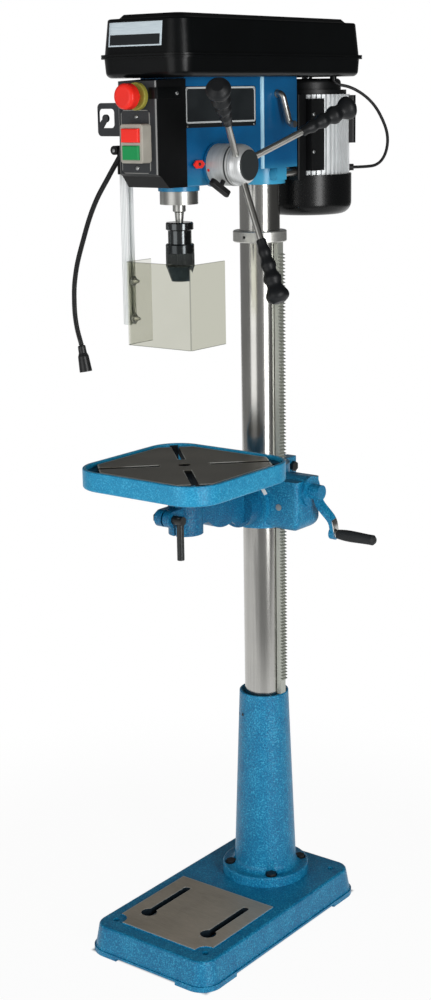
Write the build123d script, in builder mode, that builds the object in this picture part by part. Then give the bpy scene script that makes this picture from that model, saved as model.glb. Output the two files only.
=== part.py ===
"""Floor-standing pillar drill, modelled piece by piece in one frame.

Origin: centre of the base on the floor. +X is the operator's right, -Y the front, +Z is up.
All lengths are in millimetres.
"""
import os
from math import asin, cos, pi, radians, sin, tan

from build123d import *

os.makedirs("parts", exist_ok=True)

# Layout: column, spindle and motor axes stand on the plane x = 0
column_radius = 36.5
column_wall = 4.0
column_y = 129.0
throat = 231.0
spindle_y = column_y - throat
motor_y = 281.0
run_fit = 0.05
free_gap = 0.3

# Gear teeth, the same module on the table lift and on the quill feed
module = 2.0
tooth_pitch = pi * module
pressure_slope = tan(radians(20))
tooth_thickness = 2.4

# Base and pillar
base_width = 264.0
base_length = 476.0
base_height = 55.0
base_corner = 30.0
base_flare = 8.0
base_wall = 11.0
base_deck = 13.0
base_lip = 11.0
lip_overhang = 3.0
foot_height = 7.0
floor_hole_x = 105.0
floor_hole_y = 203.0
floor_hole_radius = 6.5
pad_top = 58.0
base_slot_x = 70.0
flange_radius = 84.0
flange_top = 75.0
pillar_top = 434.0
pillar_bolt_circle = 69.0
bolt_seat = 71.0
column_foot = 300.0
column_top = 1548.0

# Rack and table lift
rack_back = 36.8
rack_pitch_x = 48.0
rack_low = 434.3
rack_high = 1289.7
collar_low = 1290.0
collar_high = 1310.0
wheel_teeth = 18
wheel_x = 66.0
wheel_z = 812.0
worm_z = 840.5
bracket_low = 767.0
bracket_high = 882.0
crank_radius = 81.5
crank_lean = 14.0
grip_low = 157.0
grip_high = 236.0

# Table
table_side = 288.0
table_corner = 60.0
table_low = 887.0
table_rim = 922.0
table_top = 920.0
table_gutter = 913.0
table_plate = 258.0
plate_cut = 45.0
table_slot = 14.0
arm_low = 797.0
arm_high = 878.0
stem_radius = 19.0

# Head
head_low = 1401.0
head_high = 1576.0
head_front = -140.0
head_rear = 163.0
rear_floor = 1421.7
head_front_half = 46.0
head_half = 60.5
panel_front = -206.0

# Feed and quill
feed_y = -62.0
feed_z = 1434.0
pinion_teeth = 13
quill_radius = 30.0
quill_low = 1370.0
quill_high = 1530.0
rod_radius = 5.5
rod_root = 30.5
rod_root_x = 109.0
rod_tilt = 23.4
rod_length = 187.5
rod_angles = (144.8, 24.8, -95.2)

# Chuck
chuck_top = 1340.0
jaw_tilt = 14.0
jaw_radius = 3.5
jaw_tip_z = 1241.0
jaw_tip_offset = 4.3
jaw_length = 30.0
jaw_travel = 23.0
shank_radius = 6.8

# Belt cover
cover_y = 70.5
rim_width = 191.0
rim_length = 549.0
rim_corner = 38.0
rim_lip = 3.2
pan_low = 1576.0
pan_high = 1609.3
lid_low = 1609.8
lid_shoulder = 1669.0
lid_high = 1676.0
lid_hinge_x = -102.0
lid_hinge_z = 1609.5

# Pulleys, four steps each from the top down
step_height = 18.0
pulley_low = 1590.0
pulley_high = pulley_low + 4 * step_height
spindle_steps = (57.0, 52.5, 48.0, 43.5)
idler_steps = (39.0, 43.5, 48.0, 52.5)
motor_steps = (37.0, 32.5, 28.0, 23.5)
idler_y = 89.0
idler_pivot = (38.0, 55.0)
groove_depth = 10.5
belt_seat = 4.5

# Motor
fin_radius = 78.0
fin_root = 73.5
fin_count = 52
motor_low = 1403.0
motor_high = 1545.0
fan_radius = 82.0
fan_low = 1330.0
slide_bar_x = 46.0
slide_bar_radius = 7.0
slide_bar_high_z = 1523.5
slide_bar_low_z = 1411.0
lever_y = 98.5
lever_z = 1548.0

# Chuck guard and lamp
guard_x = -80.0
guard_y = -143.0
shield_low = 1133.0
shield_high = 1275.0
lamp_y = -171.0
neck_radius = 4.5


def upright(radius, low, high, x=0.0, y=0.0, mode=Mode.ADD):
    """Cylinder along Z."""
    with Locations((x, y, low)):
        Cylinder(radius, high - low, align=(Align.CENTER, Align.CENTER, Align.MIN), mode=mode)


def crosswise(radius, low, high, y, z, mode=Mode.ADD):
    """Cylinder along X."""
    with Locations((low, y, z)):
        Cylinder(radius, high - low, rotation=(0, 90, 0),
                 align=(Align.CENTER, Align.CENTER, Align.MIN), mode=mode)


def lengthwise(radius, low, high, x, z, mode=Mode.ADD):
    """Cylinder along Y."""
    with Locations((x, low, z)):
        Cylinder(radius, high - low, rotation=(-90, 0, 0),
                 align=(Align.CENTER, Align.CENTER, Align.MIN), mode=mode)


def along(plane, radius, low, high, mode=Mode.ADD):
    """Cylinder along the normal of a plane, between two heights over it."""
    with BuildSketch(plane.offset(low)) as face:
        Circle(radius)
    extrude(face.sketch, amount=high - low, mode=mode)


def block(x, y, z, mode=Mode.ADD):
    """Box between pairs of limits."""
    with Locations(((x[0] + x[1]) / 2, (y[0] + y[1]) / 2, (z[0] + z[1]) / 2)):
        Box(x[1] - x[0], y[1] - y[0], z[1] - z[0], mode=mode)


def slab(width, length, corner, low, high, y=0.0, mode=Mode.ADD):
    """Upright rounded plate centred on x = 0."""
    with BuildSketch(Plane((0, y, low))) as face:
        RectangleRounded(width, length, corner)
    extrude(face.sketch, amount=high - low, mode=mode)


def tapered(lower, upper, y=0.0, mode=Mode.ADD):
    """Rounded box between two outlines, each (width, length, corner, z)."""
    outlines = []
    for width, length, corner, z in (lower, upper):
        with BuildSketch(Plane((0, y, z))) as outline:
            RectangleRounded(width, length, corner)
        outlines.append(outline.sketch)
    loft(outlines, mode=mode)


def hexagon(plane, across, height):
    """Bolt head standing on a plane."""
    with BuildSketch(plane) as face:
        RegularPolygon(across / 2, 6, major_radius=False)
    extrude(face.sketch, amount=height)


def turned(points, x=0.0, y=0.0):
    """Body of revolution about an upright axis from (radius, z) points."""
    with BuildSketch(Plane((x, y, 0), x_dir=(1, 0, 0), z_dir=(0, -1, 0))) as half:
        with BuildLine():
            Polyline(*points, close=True)
        make_face()
    revolve(half.sketch, axis=Axis((x, y, 0), (0, 0, 1)))


def toothed(count, root, tip, root_half, tip_half, start=0.0):
    """Outline of a toothed wheel as a list of points."""
    points = []
    for index in range(count):
        middle = start + 2 * pi * index / count
        for radius, half in ((root, -root_half), (tip, -tip_half), (tip, tip_half), (root, root_half)):
            angle = middle + half / radius
            points.append((radius * cos(angle), radius * sin(angle)))
    return points


def gear_outline(teeth, start):
    """Straight-flanked gear with some backlash."""
    pitch_radius = module * teeth / 2
    root = pitch_radius - 2.6
    tip = pitch_radius + 1.7
    root_half = tooth_thickness / 2 + 2.6 * pressure_slope
    tip_half = tooth_thickness / 2 - 1.7 * pressure_slope
    return toothed(teeth, root, tip, root_half, tip_half, start)


def keep(builder, name):
    """Label one piece and write its file."""
    builder.part.label = name
    export_step(builder.part, f"parts/{name}.step")


def spokes(count, radius, x=0.0, y=0.0, start=0.0):
    """Points on a circle."""
    angles = [start + 2 * pi * index / count for index in range(count)]
    return [(x + radius * cos(angle), y + radius * sin(angle)) for angle in angles]


# Base casting: hollow box with a flared skirt, four feet and a machined pad
floor_holes = [(x, y) for x in (-floor_hole_x, floor_hole_x) for y in (-floor_hole_y, floor_hole_y)]
pillar_bolt_points = spokes(4, pillar_bolt_circle, 0, column_y, pi / 4)
with BuildPart() as base:
    tapered((base_width + 2 * base_flare, base_length + 2 * base_flare, base_corner + base_flare, base_lip),
            (base_width, base_length, base_corner, base_height))
    fillet(base.faces().sort_by(Axis.Z)[-1].edges(), radius=5)
    lip_grow = 2 * (base_flare + lip_overhang)
    slab(base_width + lip_grow, base_length + lip_grow, base_corner + lip_grow / 2, 0, base_lip)
    fillet(base.faces().filter_by(Plane.XY).sort_by(Axis.Z)[0].edges(), radius=2)
    underside = base_height - base_deck
    slab(base_width - 2 * base_wall, base_length - 2 * base_wall, 24, -1, underside, mode=Mode.SUBTRACT)
    for x in (-34, 34):
        block((x - 4, x + 4), (-230, 230), (foot_height, underside + 1))
    for y in (-178, 20):
        block((-125, 125), (y - 4, y + 4), (foot_height, underside + 1))
    block((-70, 70), (-260, 260), (-1, foot_height), Mode.SUBTRACT)
    block((-150, 150), (-160, 160), (-1, foot_height), Mode.SUBTRACT)
    for x, y in floor_holes:
        upright(17, 0, underside + 1, x, y)
    for x, y in pillar_bolt_points:
        upright(14, 20, underside + 1, x, y)
    with BuildSketch(Plane.XY.offset(base_height)) as pad:
        with Locations((0, -102.5)):
            Rectangle(216, 211)
        with Locations((-floor_hole_x, -floor_hole_y), (floor_hole_x, -floor_hole_y)):
            Circle(20, mode=Mode.SUBTRACT)
    extrude(amount=pad_top - base_height)
    with BuildSketch(Plane.XY.offset(pad_top + 2)):
        with Locations((-base_slot_x, -94), (base_slot_x, -94)):
            SlotOverall(132, 14, rotation=90)
        with Locations((-base_slot_x, -149), (base_slot_x, -149)):
            Circle(15)
    extrude(amount=-24, mode=Mode.SUBTRACT)
    for x, y in floor_holes:
        upright(floor_hole_radius, -1, 60, x, y, Mode.SUBTRACT)
    for x, y in pillar_bolt_points:
        upright(5 + run_fit, 15, 60, x, y, Mode.SUBTRACT)
keep(base, "base")

# Pillar socket on the base
with BuildPart() as pillar:
    with BuildSketch(Plane((0, column_y, 0), x_dir=(1, 0, 0), z_dir=(0, -1, 0))):
        with BuildLine():
            FilletPolyline((50, base_height), (flange_radius, base_height), (flange_radius, flange_top),
                           (60.5, flange_top), (47, pillar_top), (44, pillar_top), radius=(0, 3, 12, 2))
            Polyline((44, pillar_top), (column_radius + run_fit, pillar_top - 8),
                     (column_radius + run_fit, column_foot), (30, column_foot), (30, 288), (43, 270),
                     (50, base_height))
        make_face()
    revolve(axis=Axis((0, column_y, 0), (0, 0, 1)))
    for x, y in pillar_bolt_points:
        upright(12, bolt_seat, flange_top + 25, x, y, Mode.SUBTRACT)
        upright(5.5, 50, flange_top + 1, x, y, Mode.SUBTRACT)
    along(Plane((0, column_y, 386), z_dir=(-1, -1, 0)), 4, 30, 60, Mode.SUBTRACT)
keep(pillar, "pillar")

with BuildPart() as pillar_bolts:
    for x, y in pillar_bolt_points:
        upright(10, bolt_seat, bolt_seat + 2, x, y)
        hexagon(Plane((x, y, bolt_seat + 2)), 17, 6.4)
        upright(5, 26, bolt_seat + 1, x, y)
keep(pillar_bolts, "pillar_bolts")

with BuildPart() as column:
    upright(column_radius, column_foot, column_top, 0, column_y)
    upright(column_radius - column_wall, column_foot, column_top, 0, column_y, Mode.SUBTRACT)
keep(column, "column")

with BuildPart() as rack_collar:
    turned([(column_radius + run_fit, collar_low), (47, collar_low), (48.6, collar_low + 1.6),
            (48.6, collar_high - 1.6), (47, collar_high), (column_radius + run_fit, collar_high)], 0, column_y)
    along(Plane((0, column_y, 1300), z_dir=(0, -1, 0)), 3, 30, 60, Mode.SUBTRACT)
keep(rack_collar, "rack_collar")

# Rack beside the column, teeth facing +X, a tooth space at the height of the lift wheel
rack_root = rack_pitch_x - 2.6
rack_tip = rack_pitch_x + 2.0
rack_root_half = tooth_thickness / 2 + 2.6 * pressure_slope
rack_tip_half = tooth_thickness / 2 - 2.0 * pressure_slope
rack_points = [(rack_back, rack_low), (rack_root, rack_low)]
for index in range(-56, 73):
    middle = wheel_z + (index + 0.5) * tooth_pitch
    rack_points += [(rack_root, middle - rack_root_half), (rack_tip, middle - rack_tip_half),
                    (rack_tip, middle + rack_tip_half), (rack_root, middle + rack_root_half)]
rack_points += [(rack_root, rack_high), (rack_back, rack_high)]
with BuildPart() as rack:
    with BuildSketch(Plane.XZ.offset(-column_y)):
        with BuildLine():
            Polyline(*rack_points, close=True)
        make_face()
    extrude(amount=8, both=True)
keep(rack, "rack")

# Table bracket: clamped sleeve, tilt face, gear housing and worm boss
with BuildPart() as table_bracket:
    upright(52, bracket_low, bracket_high, 0, column_y)
    with BuildSketch(Plane((0, 127, bracket_low))):
        with Locations((53.3, 0)):
            RectangleRounded(106.6, 76, 8)
    extrude(amount=95)
    fillet(table_bracket.edges().filter_by(Axis.Y).group_by(Axis.Z)[0].sort_by(Axis.X)[-1], radius=20)
    lengthwise(46, 77.3, 112, 0, wheel_z)
    crosswise(28, 30, 112, column_y, worm_z)
    block((-22, 22), (172, 209), (850, bracket_high))
    block((-10, 10), (172, 195), (bracket_low, 852))
    upright(column_radius + run_fit, 760, 890, 0, column_y, Mode.SUBTRACT)
    block((30, 50.4), (column_y - 8.3, column_y + 8.3), (760, 890), Mode.SUBTRACT)
    lengthwise(21, column_y - 9, column_y + 9, wheel_x, wheel_z, Mode.SUBTRACT)
    crosswise(13.3, 52, 100, column_y, worm_z, Mode.SUBTRACT)
    crosswise(8 + run_fit, 95, 120, column_y, worm_z, Mode.SUBTRACT)
    lengthwise(6 + run_fit, 80, 172, wheel_x, wheel_z, Mode.SUBTRACT)
    lengthwise(8 + run_fit, 70, 110, 0, wheel_z, Mode.SUBTRACT)
    block((-2, 2), (150, 215), (760, 890), Mode.SUBTRACT)
    crosswise(5 + run_fit, -30, 30, 197, 864, Mode.SUBTRACT)
keep(table_bracket, "table_bracket")

with BuildPart() as tilt_bolt:
    hexagon(Plane((0, 33, wheel_z), x_dir=(1, 0, 0), z_dir=(0, 1, 0)), 24, 11.5)
    lengthwise(8, 44, 91.5, 0, wheel_z)
keep(tilt_bolt, "tilt_bolt")

with BuildPart() as worm_wheel:
    with BuildSketch(Plane.XZ.offset(-column_y)) as wheel_face:
        with BuildLine():
            Polyline(*[(wheel_x + x, wheel_z + z) for x, z in gear_outline(wheel_teeth, pi)], close=True)
        make_face()
    extrude(amount=7.5, both=True)
    lengthwise(6, 88, 167, wheel_x, wheel_z)
keep(worm_wheel, "worm_wheel")

with BuildPart() as worm_shaft:
    crosswise(8, 53, 130, column_y, worm_z)
keep(worm_shaft, "worm_shaft")

# Crank: hub on the worm shaft, S-bent arm and a boss with the grip pin
crank_out = Vector(0, sin(radians(crank_lean)), -cos(radians(crank_lean)))
crank_end = Vector(0, column_y, worm_z) + crank_out * crank_radius
crank_plane = Plane((0, column_y, worm_z), x_dir=crank_out, z_dir=crank_out.cross(Vector(1, 0, 0)))
with BuildPart() as crank_arm:
    with BuildSketch(crank_plane):
        with BuildLine():
            Spline((4, 119), (26, 121.5), (54, 141.5), (crank_radius, 144), tangents=((1, 0), (1, 0)))
            Line((crank_radius, 144), (crank_radius, 154))
            Spline((crank_radius, 154), (50, 151.5), (22, 131.5), (4, 129), tangents=((-1, 0), (-1, 0)))
            Line((4, 129), (4, 119))
        make_face()
    extrude(amount=7.5, both=True)
    crosswise(14, 112.5, 134, column_y, worm_z)
    crosswise(11, 142, 152, crank_end.Y, crank_end.Z)
    crosswise(7.5, 151, 156, crank_end.Y, crank_end.Z)
    crosswise(8 + run_fit, 110, 131, column_y, worm_z, Mode.SUBTRACT)
    crosswise(4, 155, grip_high - 5, crank_end.Y, crank_end.Z)
keep(crank_arm, "crank_arm")

with BuildPart() as crank_grip:
    with BuildSketch(Plane((0, crank_end.Y, crank_end.Z), x_dir=(1, 0, 0), z_dir=(0, -1, 0))):
        with BuildLine():
            Polyline((grip_low, 4 + run_fit), (grip_low, 8.5))
            Spline((grip_low, 8.5), (184, 10.5), (214, 9.6), (grip_high - 4, 9.5))
            Polyline((grip_high - 4, 9.5), (grip_high, 6), (grip_high, 0), (grip_high - 4, 0),
                     (grip_high - 4, 4 + run_fit), (grip_low, 4 + run_fit))
        make_face()
    revolve(axis=Axis((0, crank_end.Y, crank_end.Z), (1, 0, 0)))
keep(crank_grip, "crank_grip")

# Column clamp behind the bracket, its lever on the left
with BuildPart() as column_clamp:
    crosswise(5, -40, 27, 197, 864)
    hexagon(Plane((22.4, 197, 864), z_dir=(1, 0, 0)), 17, 6.5)
    crosswise(9, -41, -22.4, 197, 864)
    upright(5.5, 800, 860, -32, 197)
    with Locations((-32, 197, 797)):
        Sphere(9)
keep(column_clamp, "column_clamp")

# Table arm: rear boss on the tilt face, scalloped web, split front boss with ears
with BuildPart() as table_arm:
    with BuildSketch(Plane.YZ):
        with BuildLine():
            Polyline((-62, 811), (-102, 811), (-102, 872), (46, 850), (46, 788))
            ThreePointArc((46, 788), (26, 786), (8, 796))
            ThreePointArc((8, 796), (-26, 793), (-62, 811))
        make_face()
    extrude(amount=20, both=True)
    lengthwise(38, 45, 77, 0, wheel_z)
    block((-15, 15), (8, 45), (780, 829), Mode.SUBTRACT)
    upright(31, arm_low, arm_high, 0, spindle_y)
    block((-16, 16), (-155, -120), (819, 849))
    crosswise(15, -16, 16, -155, 834)
    upright(stem_radius + run_fit, 790, 890, 0, spindle_y, Mode.SUBTRACT)
    block((-2, 2), (-180, -110), (790, 890), Mode.SUBTRACT)
    crosswise(5 + run_fit, -30, 30, -155, 834, Mode.SUBTRACT)
    lengthwise(8 + run_fit, 40, 80, 0, wheel_z, Mode.SUBTRACT)
keep(table_arm, "table_arm")

with BuildPart() as table_clamp:
    crosswise(5, -22, 36, -155, 834)
    hexagon(Plane((-16.4, -155, 834), z_dir=(-1, 0, 0)), 17, 6.5)
    crosswise(8, 16.4, 37, -155, 834)
    upright(6.4, 764, 841, 30, -155)
keep(table_clamp, "table_clamp")

# Table: square with round corners, raised rim, gutter, slotted plate, ribs below
with BuildPart() as table:
    slab(table_side, table_side, table_corner, table_low, table_rim, spindle_y)
    fillet(table.faces().sort_by(Axis.Z)[0].edges(), radius=4)
    fillet(table.faces().sort_by(Axis.Z)[-1].edges(), radius=2)
    slab(table_side - 12, table_side - 12, table_corner - 6, table_gutter, table_rim + 1, spindle_y,
         Mode.SUBTRACT)
    with BuildSketch(Plane((0, spindle_y, table_gutter))) as plate:
        Rectangle(table_plate, table_plate)
        chamfer(plate.vertices(), length=plate_cut)
    extrude(amount=table_top - table_gutter)
    slab(table_side - 18, table_side - 18, table_corner - 9, table_low - 1, 904, spindle_y, Mode.SUBTRACT)
    block((-4, 4), (spindle_y - 138, spindle_y + 138), (table_low + 2, 905))
    block((-138, 138), (spindle_y - 4, spindle_y + 4), (table_low + 2, 905))
    upright(34, arm_high + free_gap, 905, 0, spindle_y)
    upright(stem_radius, 806, 905, 0, spindle_y)
    upright(11, 800, 925, 0, spindle_y, Mode.SUBTRACT)
    with BuildSketch(Plane((0, spindle_y, 925))):
        with PolarLocations(105, 4, start_angle=45):
            SlotOverall(126, table_slot)
    extrude(amount=-22, mode=Mode.SUBTRACT)
keep(table, "table")

# Head casting: tapered box with quill housing, column socket and feed bosses
head_plan = [(-head_front_half, head_front), (head_front_half, head_front), (56.8, 57), (head_half, 57),
             (head_half, head_rear), (-head_half, head_rear), (-head_half, 57), (-56.8, 57)]
pocket_plan = [(-36, -131), (36, -131), (48, 60), (48, 150), (-48, 150), (-48, 60)]
front_pocket = [(-36, -131), (36, -131), (45.5, 22), (-45.5, 22)]
with BuildPart() as head_casting:
    with BuildSketch(Plane.XY.offset(head_low)) as plan:
        with BuildLine():
            Polyline(*head_plan, close=True)
        make_face()
        fillet(plan.vertices().group_by(Axis.Y)[-1], radius=4)
        fillet(plan.vertices().filter_by_position(Axis.Y, 56, 58).filter_by(
            lambda corner: abs(corner.X) > 60), radius=3.5)
    extrude(amount=head_high - head_low)
    fillet(head_casting.faces().sort_by(Axis.Z)[0].edges(), radius=2.5)
    block((-70, 70), (30, 170), (head_low - 1, rear_floor), Mode.SUBTRACT)
    with BuildSketch(Plane.XY.offset(rear_floor + 12)):
        with BuildLine():
            Polyline(*pocket_plan, close=True)
        make_face()
        with Locations((0, spindle_y)):
            Circle(42, mode=Mode.SUBTRACT)
        with Locations((0, column_y)):
            Circle(50, mode=Mode.SUBTRACT)
    extrude(amount=head_high - rear_floor, mode=Mode.SUBTRACT)
    with BuildSketch(Plane.XY.offset(head_low + 15)):
        with BuildLine():
            Polyline(*front_pocket, close=True)
        make_face()
        with Locations((0, spindle_y)):
            Circle(42, mode=Mode.SUBTRACT)
    extrude(amount=rear_floor - head_low, mode=Mode.SUBTRACT)
    upright(46, 1392.5, rear_floor + 0.3, 0, column_y)
    upright(35, 1392, head_low + 1, 0, spindle_y)
    crosswise(37, 42, 53, feed_y, feed_z)
    crosswise(37, -53, -42, feed_y, feed_z)
    crosswise(24, -50, 50, feed_y, feed_z)
    block((42, 52), (-122, -103), (1432.5, 1441.5))
    block((34, 56), (106, 134), (1400, rear_floor + 2))
    block((-52, -40), (-139, -128), (1424, 1456))
    crosswise(12, 38, 56, lever_y, lever_z)
    upright(15, 1540, head_high, idler_pivot[0], idler_pivot[1])
    upright(quill_radius + run_fit, 1380, 1540, 0, spindle_y, Mode.SUBTRACT)
    upright(16.5, 1530, 1550, 0, spindle_y, Mode.SUBTRACT)
    upright(26, 1545, head_high + 1, 0, spindle_y, Mode.SUBTRACT)
    upright(column_radius + run_fit, 1380, column_top + 1, 0, column_y, Mode.SUBTRACT)
    crosswise(16 + run_fit, -22, 60, feed_y, feed_z, Mode.SUBTRACT)
    crosswise(10 + run_fit, -60, -20, feed_y, feed_z, Mode.SUBTRACT)
    for z in (slide_bar_low_z, slide_bar_high_z):
        lengthwise(slide_bar_radius + run_fit, 98, 168, slide_bar_x, z, Mode.SUBTRACT)
    crosswise(7 + run_fit, 30, 64, lever_y, lever_z, Mode.SUBTRACT)
    upright(8 + run_fit, 1545, head_high + 1, idler_pivot[0], idler_pivot[1], Mode.SUBTRACT)
keep(head_casting, "head_casting")

# Switch box on the front of the head
with BuildPart() as switch_box:
    with BuildSketch(Plane.XY.offset(1395)):
        with BuildLine():
            Polyline((-49, head_front), (-40, panel_front), (40, panel_front), (49, head_front), close=True)
        make_face()
    extrude(amount=185)
    fillet(switch_box.edges().filter_by(Axis.Z).group_by(Axis.Y)[0], radius=4)
    with BuildSketch(Plane.YZ):
        with BuildLine():
            Polyline((-206, 1571), (-206, 1424), (-198, 1420), (-180, 1401), (-140, 1401), (-140, 1574),
                     close=True)
        make_face()
    extrude(amount=60, both=True, mode=Mode.INTERSECT)
    block((-37, 37), (-202, head_front + 1), (1428, 1566), Mode.SUBTRACT)
    block((-34, 34), (-207, -205), (1430, 1565), Mode.SUBTRACT)
    lengthwise(23, -206, -203, 2, 1547)
    lengthwise(12.1, -210, -200, 2, 1547, Mode.SUBTRACT)
keep(switch_box, "switch_box")

with BuildPart() as switch_frame:
    with BuildSketch(Plane((4, -205, 1473), x_dir=(1, 0, 0), z_dir=(0, -1, 0))):
        RectangleRounded(47, 62, 5)
    extrude(amount=22)
    fillet(switch_frame.faces().sort_by(Axis.Y)[0].edges(), radius=2)
    block((4 - 18.3, 4 + 18.3), (-230, -208), (1474.7, 1497.3), Mode.SUBTRACT)
    block((4 - 17.3, 4 + 17.3), (-230, -208), (1447.2, 1470.3), Mode.SUBTRACT)
keep(switch_frame, "switch_frame")

with BuildPart() as stop_button:
    block((4 - 18, 4 + 18), (-232, -213), (1475, 1497))
    fillet(stop_button.faces().sort_by(Axis.Y)[0].edges(), radius=2)
keep(stop_button, "stop_button")

with BuildPart() as start_button:
    block((4 - 17, 4 + 17), (-231, -213), (1447.5, 1470))
    fillet(start_button.faces().sort_by(Axis.Y)[0].edges(), radius=2)
keep(start_button, "start_button")

with BuildPart() as estop_collar:
    lengthwise(22, -214, -206, 2, 1547)
    fillet(estop_collar.faces().sort_by(Axis.Y)[0].edges(), radius=2)
    lengthwise(12.1, -220, -200, 2, 1547, Mode.SUBTRACT)
keep(estop_collar, "estop_collar")

with BuildPart() as estop_button:
    lengthwise(20.5, -244, -224, 2, 1547)
    fillet(estop_button.faces().sort_by(Axis.Y)[0].edges(), radius=7)
    fillet(estop_button.faces().sort_by(Axis.Y)[-1].edges(), radius=2)
    lengthwise(12, -225, -203, 2, 1547)
keep(estop_button, "estop_button")

# Hook plate on the left of the switch box
with BuildPart() as hook_plate:
    with BuildSketch(Plane.XZ.offset(169)):
        with Locations((-79.4, 1510)):
            RectangleRounded(68.2, 54, 8)
        with Locations((-94.5, 1512)):
            RectangleRounded(35, 31, 6, mode=Mode.SUBTRACT)
        with BuildLine():
            Polyline((-112.5, 1496), (-104, 1496), (-94, 1509), (-100, 1514), (-112.5, 1502), close=True)
        make_face()
        with Locations((-97, 1512)):
            Circle(6.5)
    extrude(amount=4)
keep(hook_plate, "hook_plate")

# Chuck guard: bracket, pivoting rail and clear shield
lamp_root = Vector(-60.5, lamp_y, 1461)
lamp_lead = Vector(-0.61, 0, -0.7924).normalized()
lamp_socket = Plane(lamp_root, z_dir=lamp_lead)
with BuildPart() as guard_bracket:
    block((-92, -52), (-156, -128), (1420, 1460))
    fillet(guard_bracket.edges().filter_by(Axis.Z).group_by(Axis.X)[0], radius=8)
    lengthwise(7.5, -180, -150, -74, 1460.5)
    block((-67, -54), (-165, -150), (1452, 1468))
    along(lamp_socket, 8, -6, 8)
    upright(5 + run_fit, 1410, 1452, guard_x, guard_y, Mode.SUBTRACT)
    along(lamp_socket, neck_radius + run_fit, 0, 16, Mode.SUBTRACT)
keep(guard_bracket, "guard_bracket")

with BuildPart() as guard_rail:
    block((-87, -73.3), (-152, -134), (1166, 1419.7))
    block((-77, -73), (-147, -139), (1160, 1415), Mode.SUBTRACT)
    block((-80, -77), (-149, -137), (1160, 1415), Mode.SUBTRACT)
    upright(5, 1415, 1450, guard_x, guard_y)
keep(guard_rail, "guard_rail")

with BuildPart() as guard_shield:
    with BuildSketch(Plane.XY.offset(shield_low)) as bent:
        with BuildLine():
            Polyline((-73, -95), (-73, -161), (67, -161), (67, -65), (64, -65), (64, -158), (-70, -158),
                     (-70, -95), close=True)
        make_face()
    extrude(amount=shield_high - shield_low)
    fillet(guard_shield.edges().filter_by(Axis.Z).group_by(Axis.Y)[0], radius=6)
keep(guard_shield, "guard_shield")

# Lamp on a bent neck
neck = [(lamp_root.X, lamp_root.Z), (-96.6, 1414.6), (-127.6, 1371.5), (-157.5, 1308), (-178, 1248), (-183, 1204),
        (-180, 1161), (-170, 1126.5)]
with BuildPart() as gooseneck:
    with BuildLine(Plane((0, lamp_y, 0), x_dir=(1, 0, 0), z_dir=(0, -1, 0))) as neck_path:
        Spline(*neck)
    with BuildSketch(Plane(neck_path.line @ 0, z_dir=neck_path.line % 0)):
        Circle(neck_radius)
    sweep(path=neck_path.line)
keep(gooseneck, "gooseneck")

lamp_top = Vector(-170, lamp_y, 1126.5)
lamp_axis = Vector(8.4, 0, -45.5).normalized()
lamp_plane = Plane(lamp_top, x_dir=lamp_axis, z_dir=(0, -1, 0))
with BuildPart() as lamp_head:
    with BuildSketch(lamp_plane):
        with BuildLine():
            Polyline((0.8, 0), (0.8, 6), (3, 6.8), (14, 7.2), (20, 9.5), (44, 11), (47, 11), (47, 9.5), (44, 9),
                     (44, 0), close=True)
        make_face()
    revolve(axis=Axis(lamp_top, lamp_axis))
keep(lamp_head, "lamp_head")

# Quill with rack grooves on its rear side
with BuildPart() as quill:
    upright(quill_radius, quill_low, quill_high, 0, spindle_y)
    upright(32.4, quill_low, 1391.6, 0, spindle_y)
    upright(16, quill_low - 1, quill_high + 1, 0, spindle_y, Mode.SUBTRACT)
    upright(23.5 + run_fit, quill_low - 1, 1389.5, 0, spindle_y, Mode.SUBTRACT)
    upright(20 + run_fit, 1515.5, quill_high + 1, 0, spindle_y, Mode.SUBTRACT)
    block((-13, 13), (spindle_y + 29, spindle_y + 31), (1420, quill_high + 1), Mode.SUBTRACT)
    with BuildSketch(Plane.YZ) as grooves:
        for index in range(-1, 15):
            middle = feed_z + index * tooth_pitch
            tip_half = tooth_pitch / 2 - rack_root_half
            mouth_half = tip_half + 6 * pressure_slope
            with BuildLine():
                Polyline((spindle_y + 24.4, middle - tip_half), (spindle_y + 24.4, middle + tip_half),
                         (spindle_y + 30.4, middle + mouth_half), (spindle_y + 30.4, middle - mouth_half),
                         close=True)
            make_face()
    extrude(amount=13, both=True, mode=Mode.SUBTRACT)
keep(quill, "quill")

with BuildPart() as quill_bearings:
    upright(23.5, 1374, 1389, 0, spindle_y)
    upright(20, 1516, quill_high, 0, spindle_y)
    upright(12 + run_fit, 1360, 1540, 0, spindle_y, Mode.SUBTRACT)
keep(quill_bearings, "quill_bearings")

with BuildPart() as spindle:
    turned([(0, 1312), (5.5, 1312), (6.5, chuck_top), (8, 1356), (11, 1358), (11, 1370.3), (14, 1370.3),
            (14, 1373.6), (12, 1373.6), (12, 1534), (10, 1534), (10, 1650), (0, 1650)], 0, spindle_y)
keep(spindle, "spindle")

# Chuck: body, outer sleeve and three sloping jaws
jaw_lines = []
for turn in (90, 210, 330):
    out = Vector(cos(radians(turn)), sin(radians(turn)), 0)
    foot = Vector(0, spindle_y, jaw_tip_z) + out * jaw_tip_offset
    lead = out * sin(radians(jaw_tilt)) + Vector(0, 0, cos(radians(jaw_tilt)))
    jaw_lines.append(Plane(foot, z_dir=lead))
with BuildPart() as chuck_body:
    turned([(shank_radius, 1248), (15, 1248), (16, 1250), (16, 1304.3), (20, 1304.3), (20, 1326), (23.5, 1328),
            (23.5, 1338), (22, chuck_top), (6.5 + run_fit, chuck_top), (5.5 + run_fit, 1311), (0, 1311),
            (0, 1303), (shank_radius, 1303)], 0, spindle_y)
    for line in jaw_lines:
        along(line, jaw_radius + free_gap, -5, jaw_length + jaw_travel + 2, Mode.SUBTRACT)
keep(chuck_body, "chuck_body")

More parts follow.
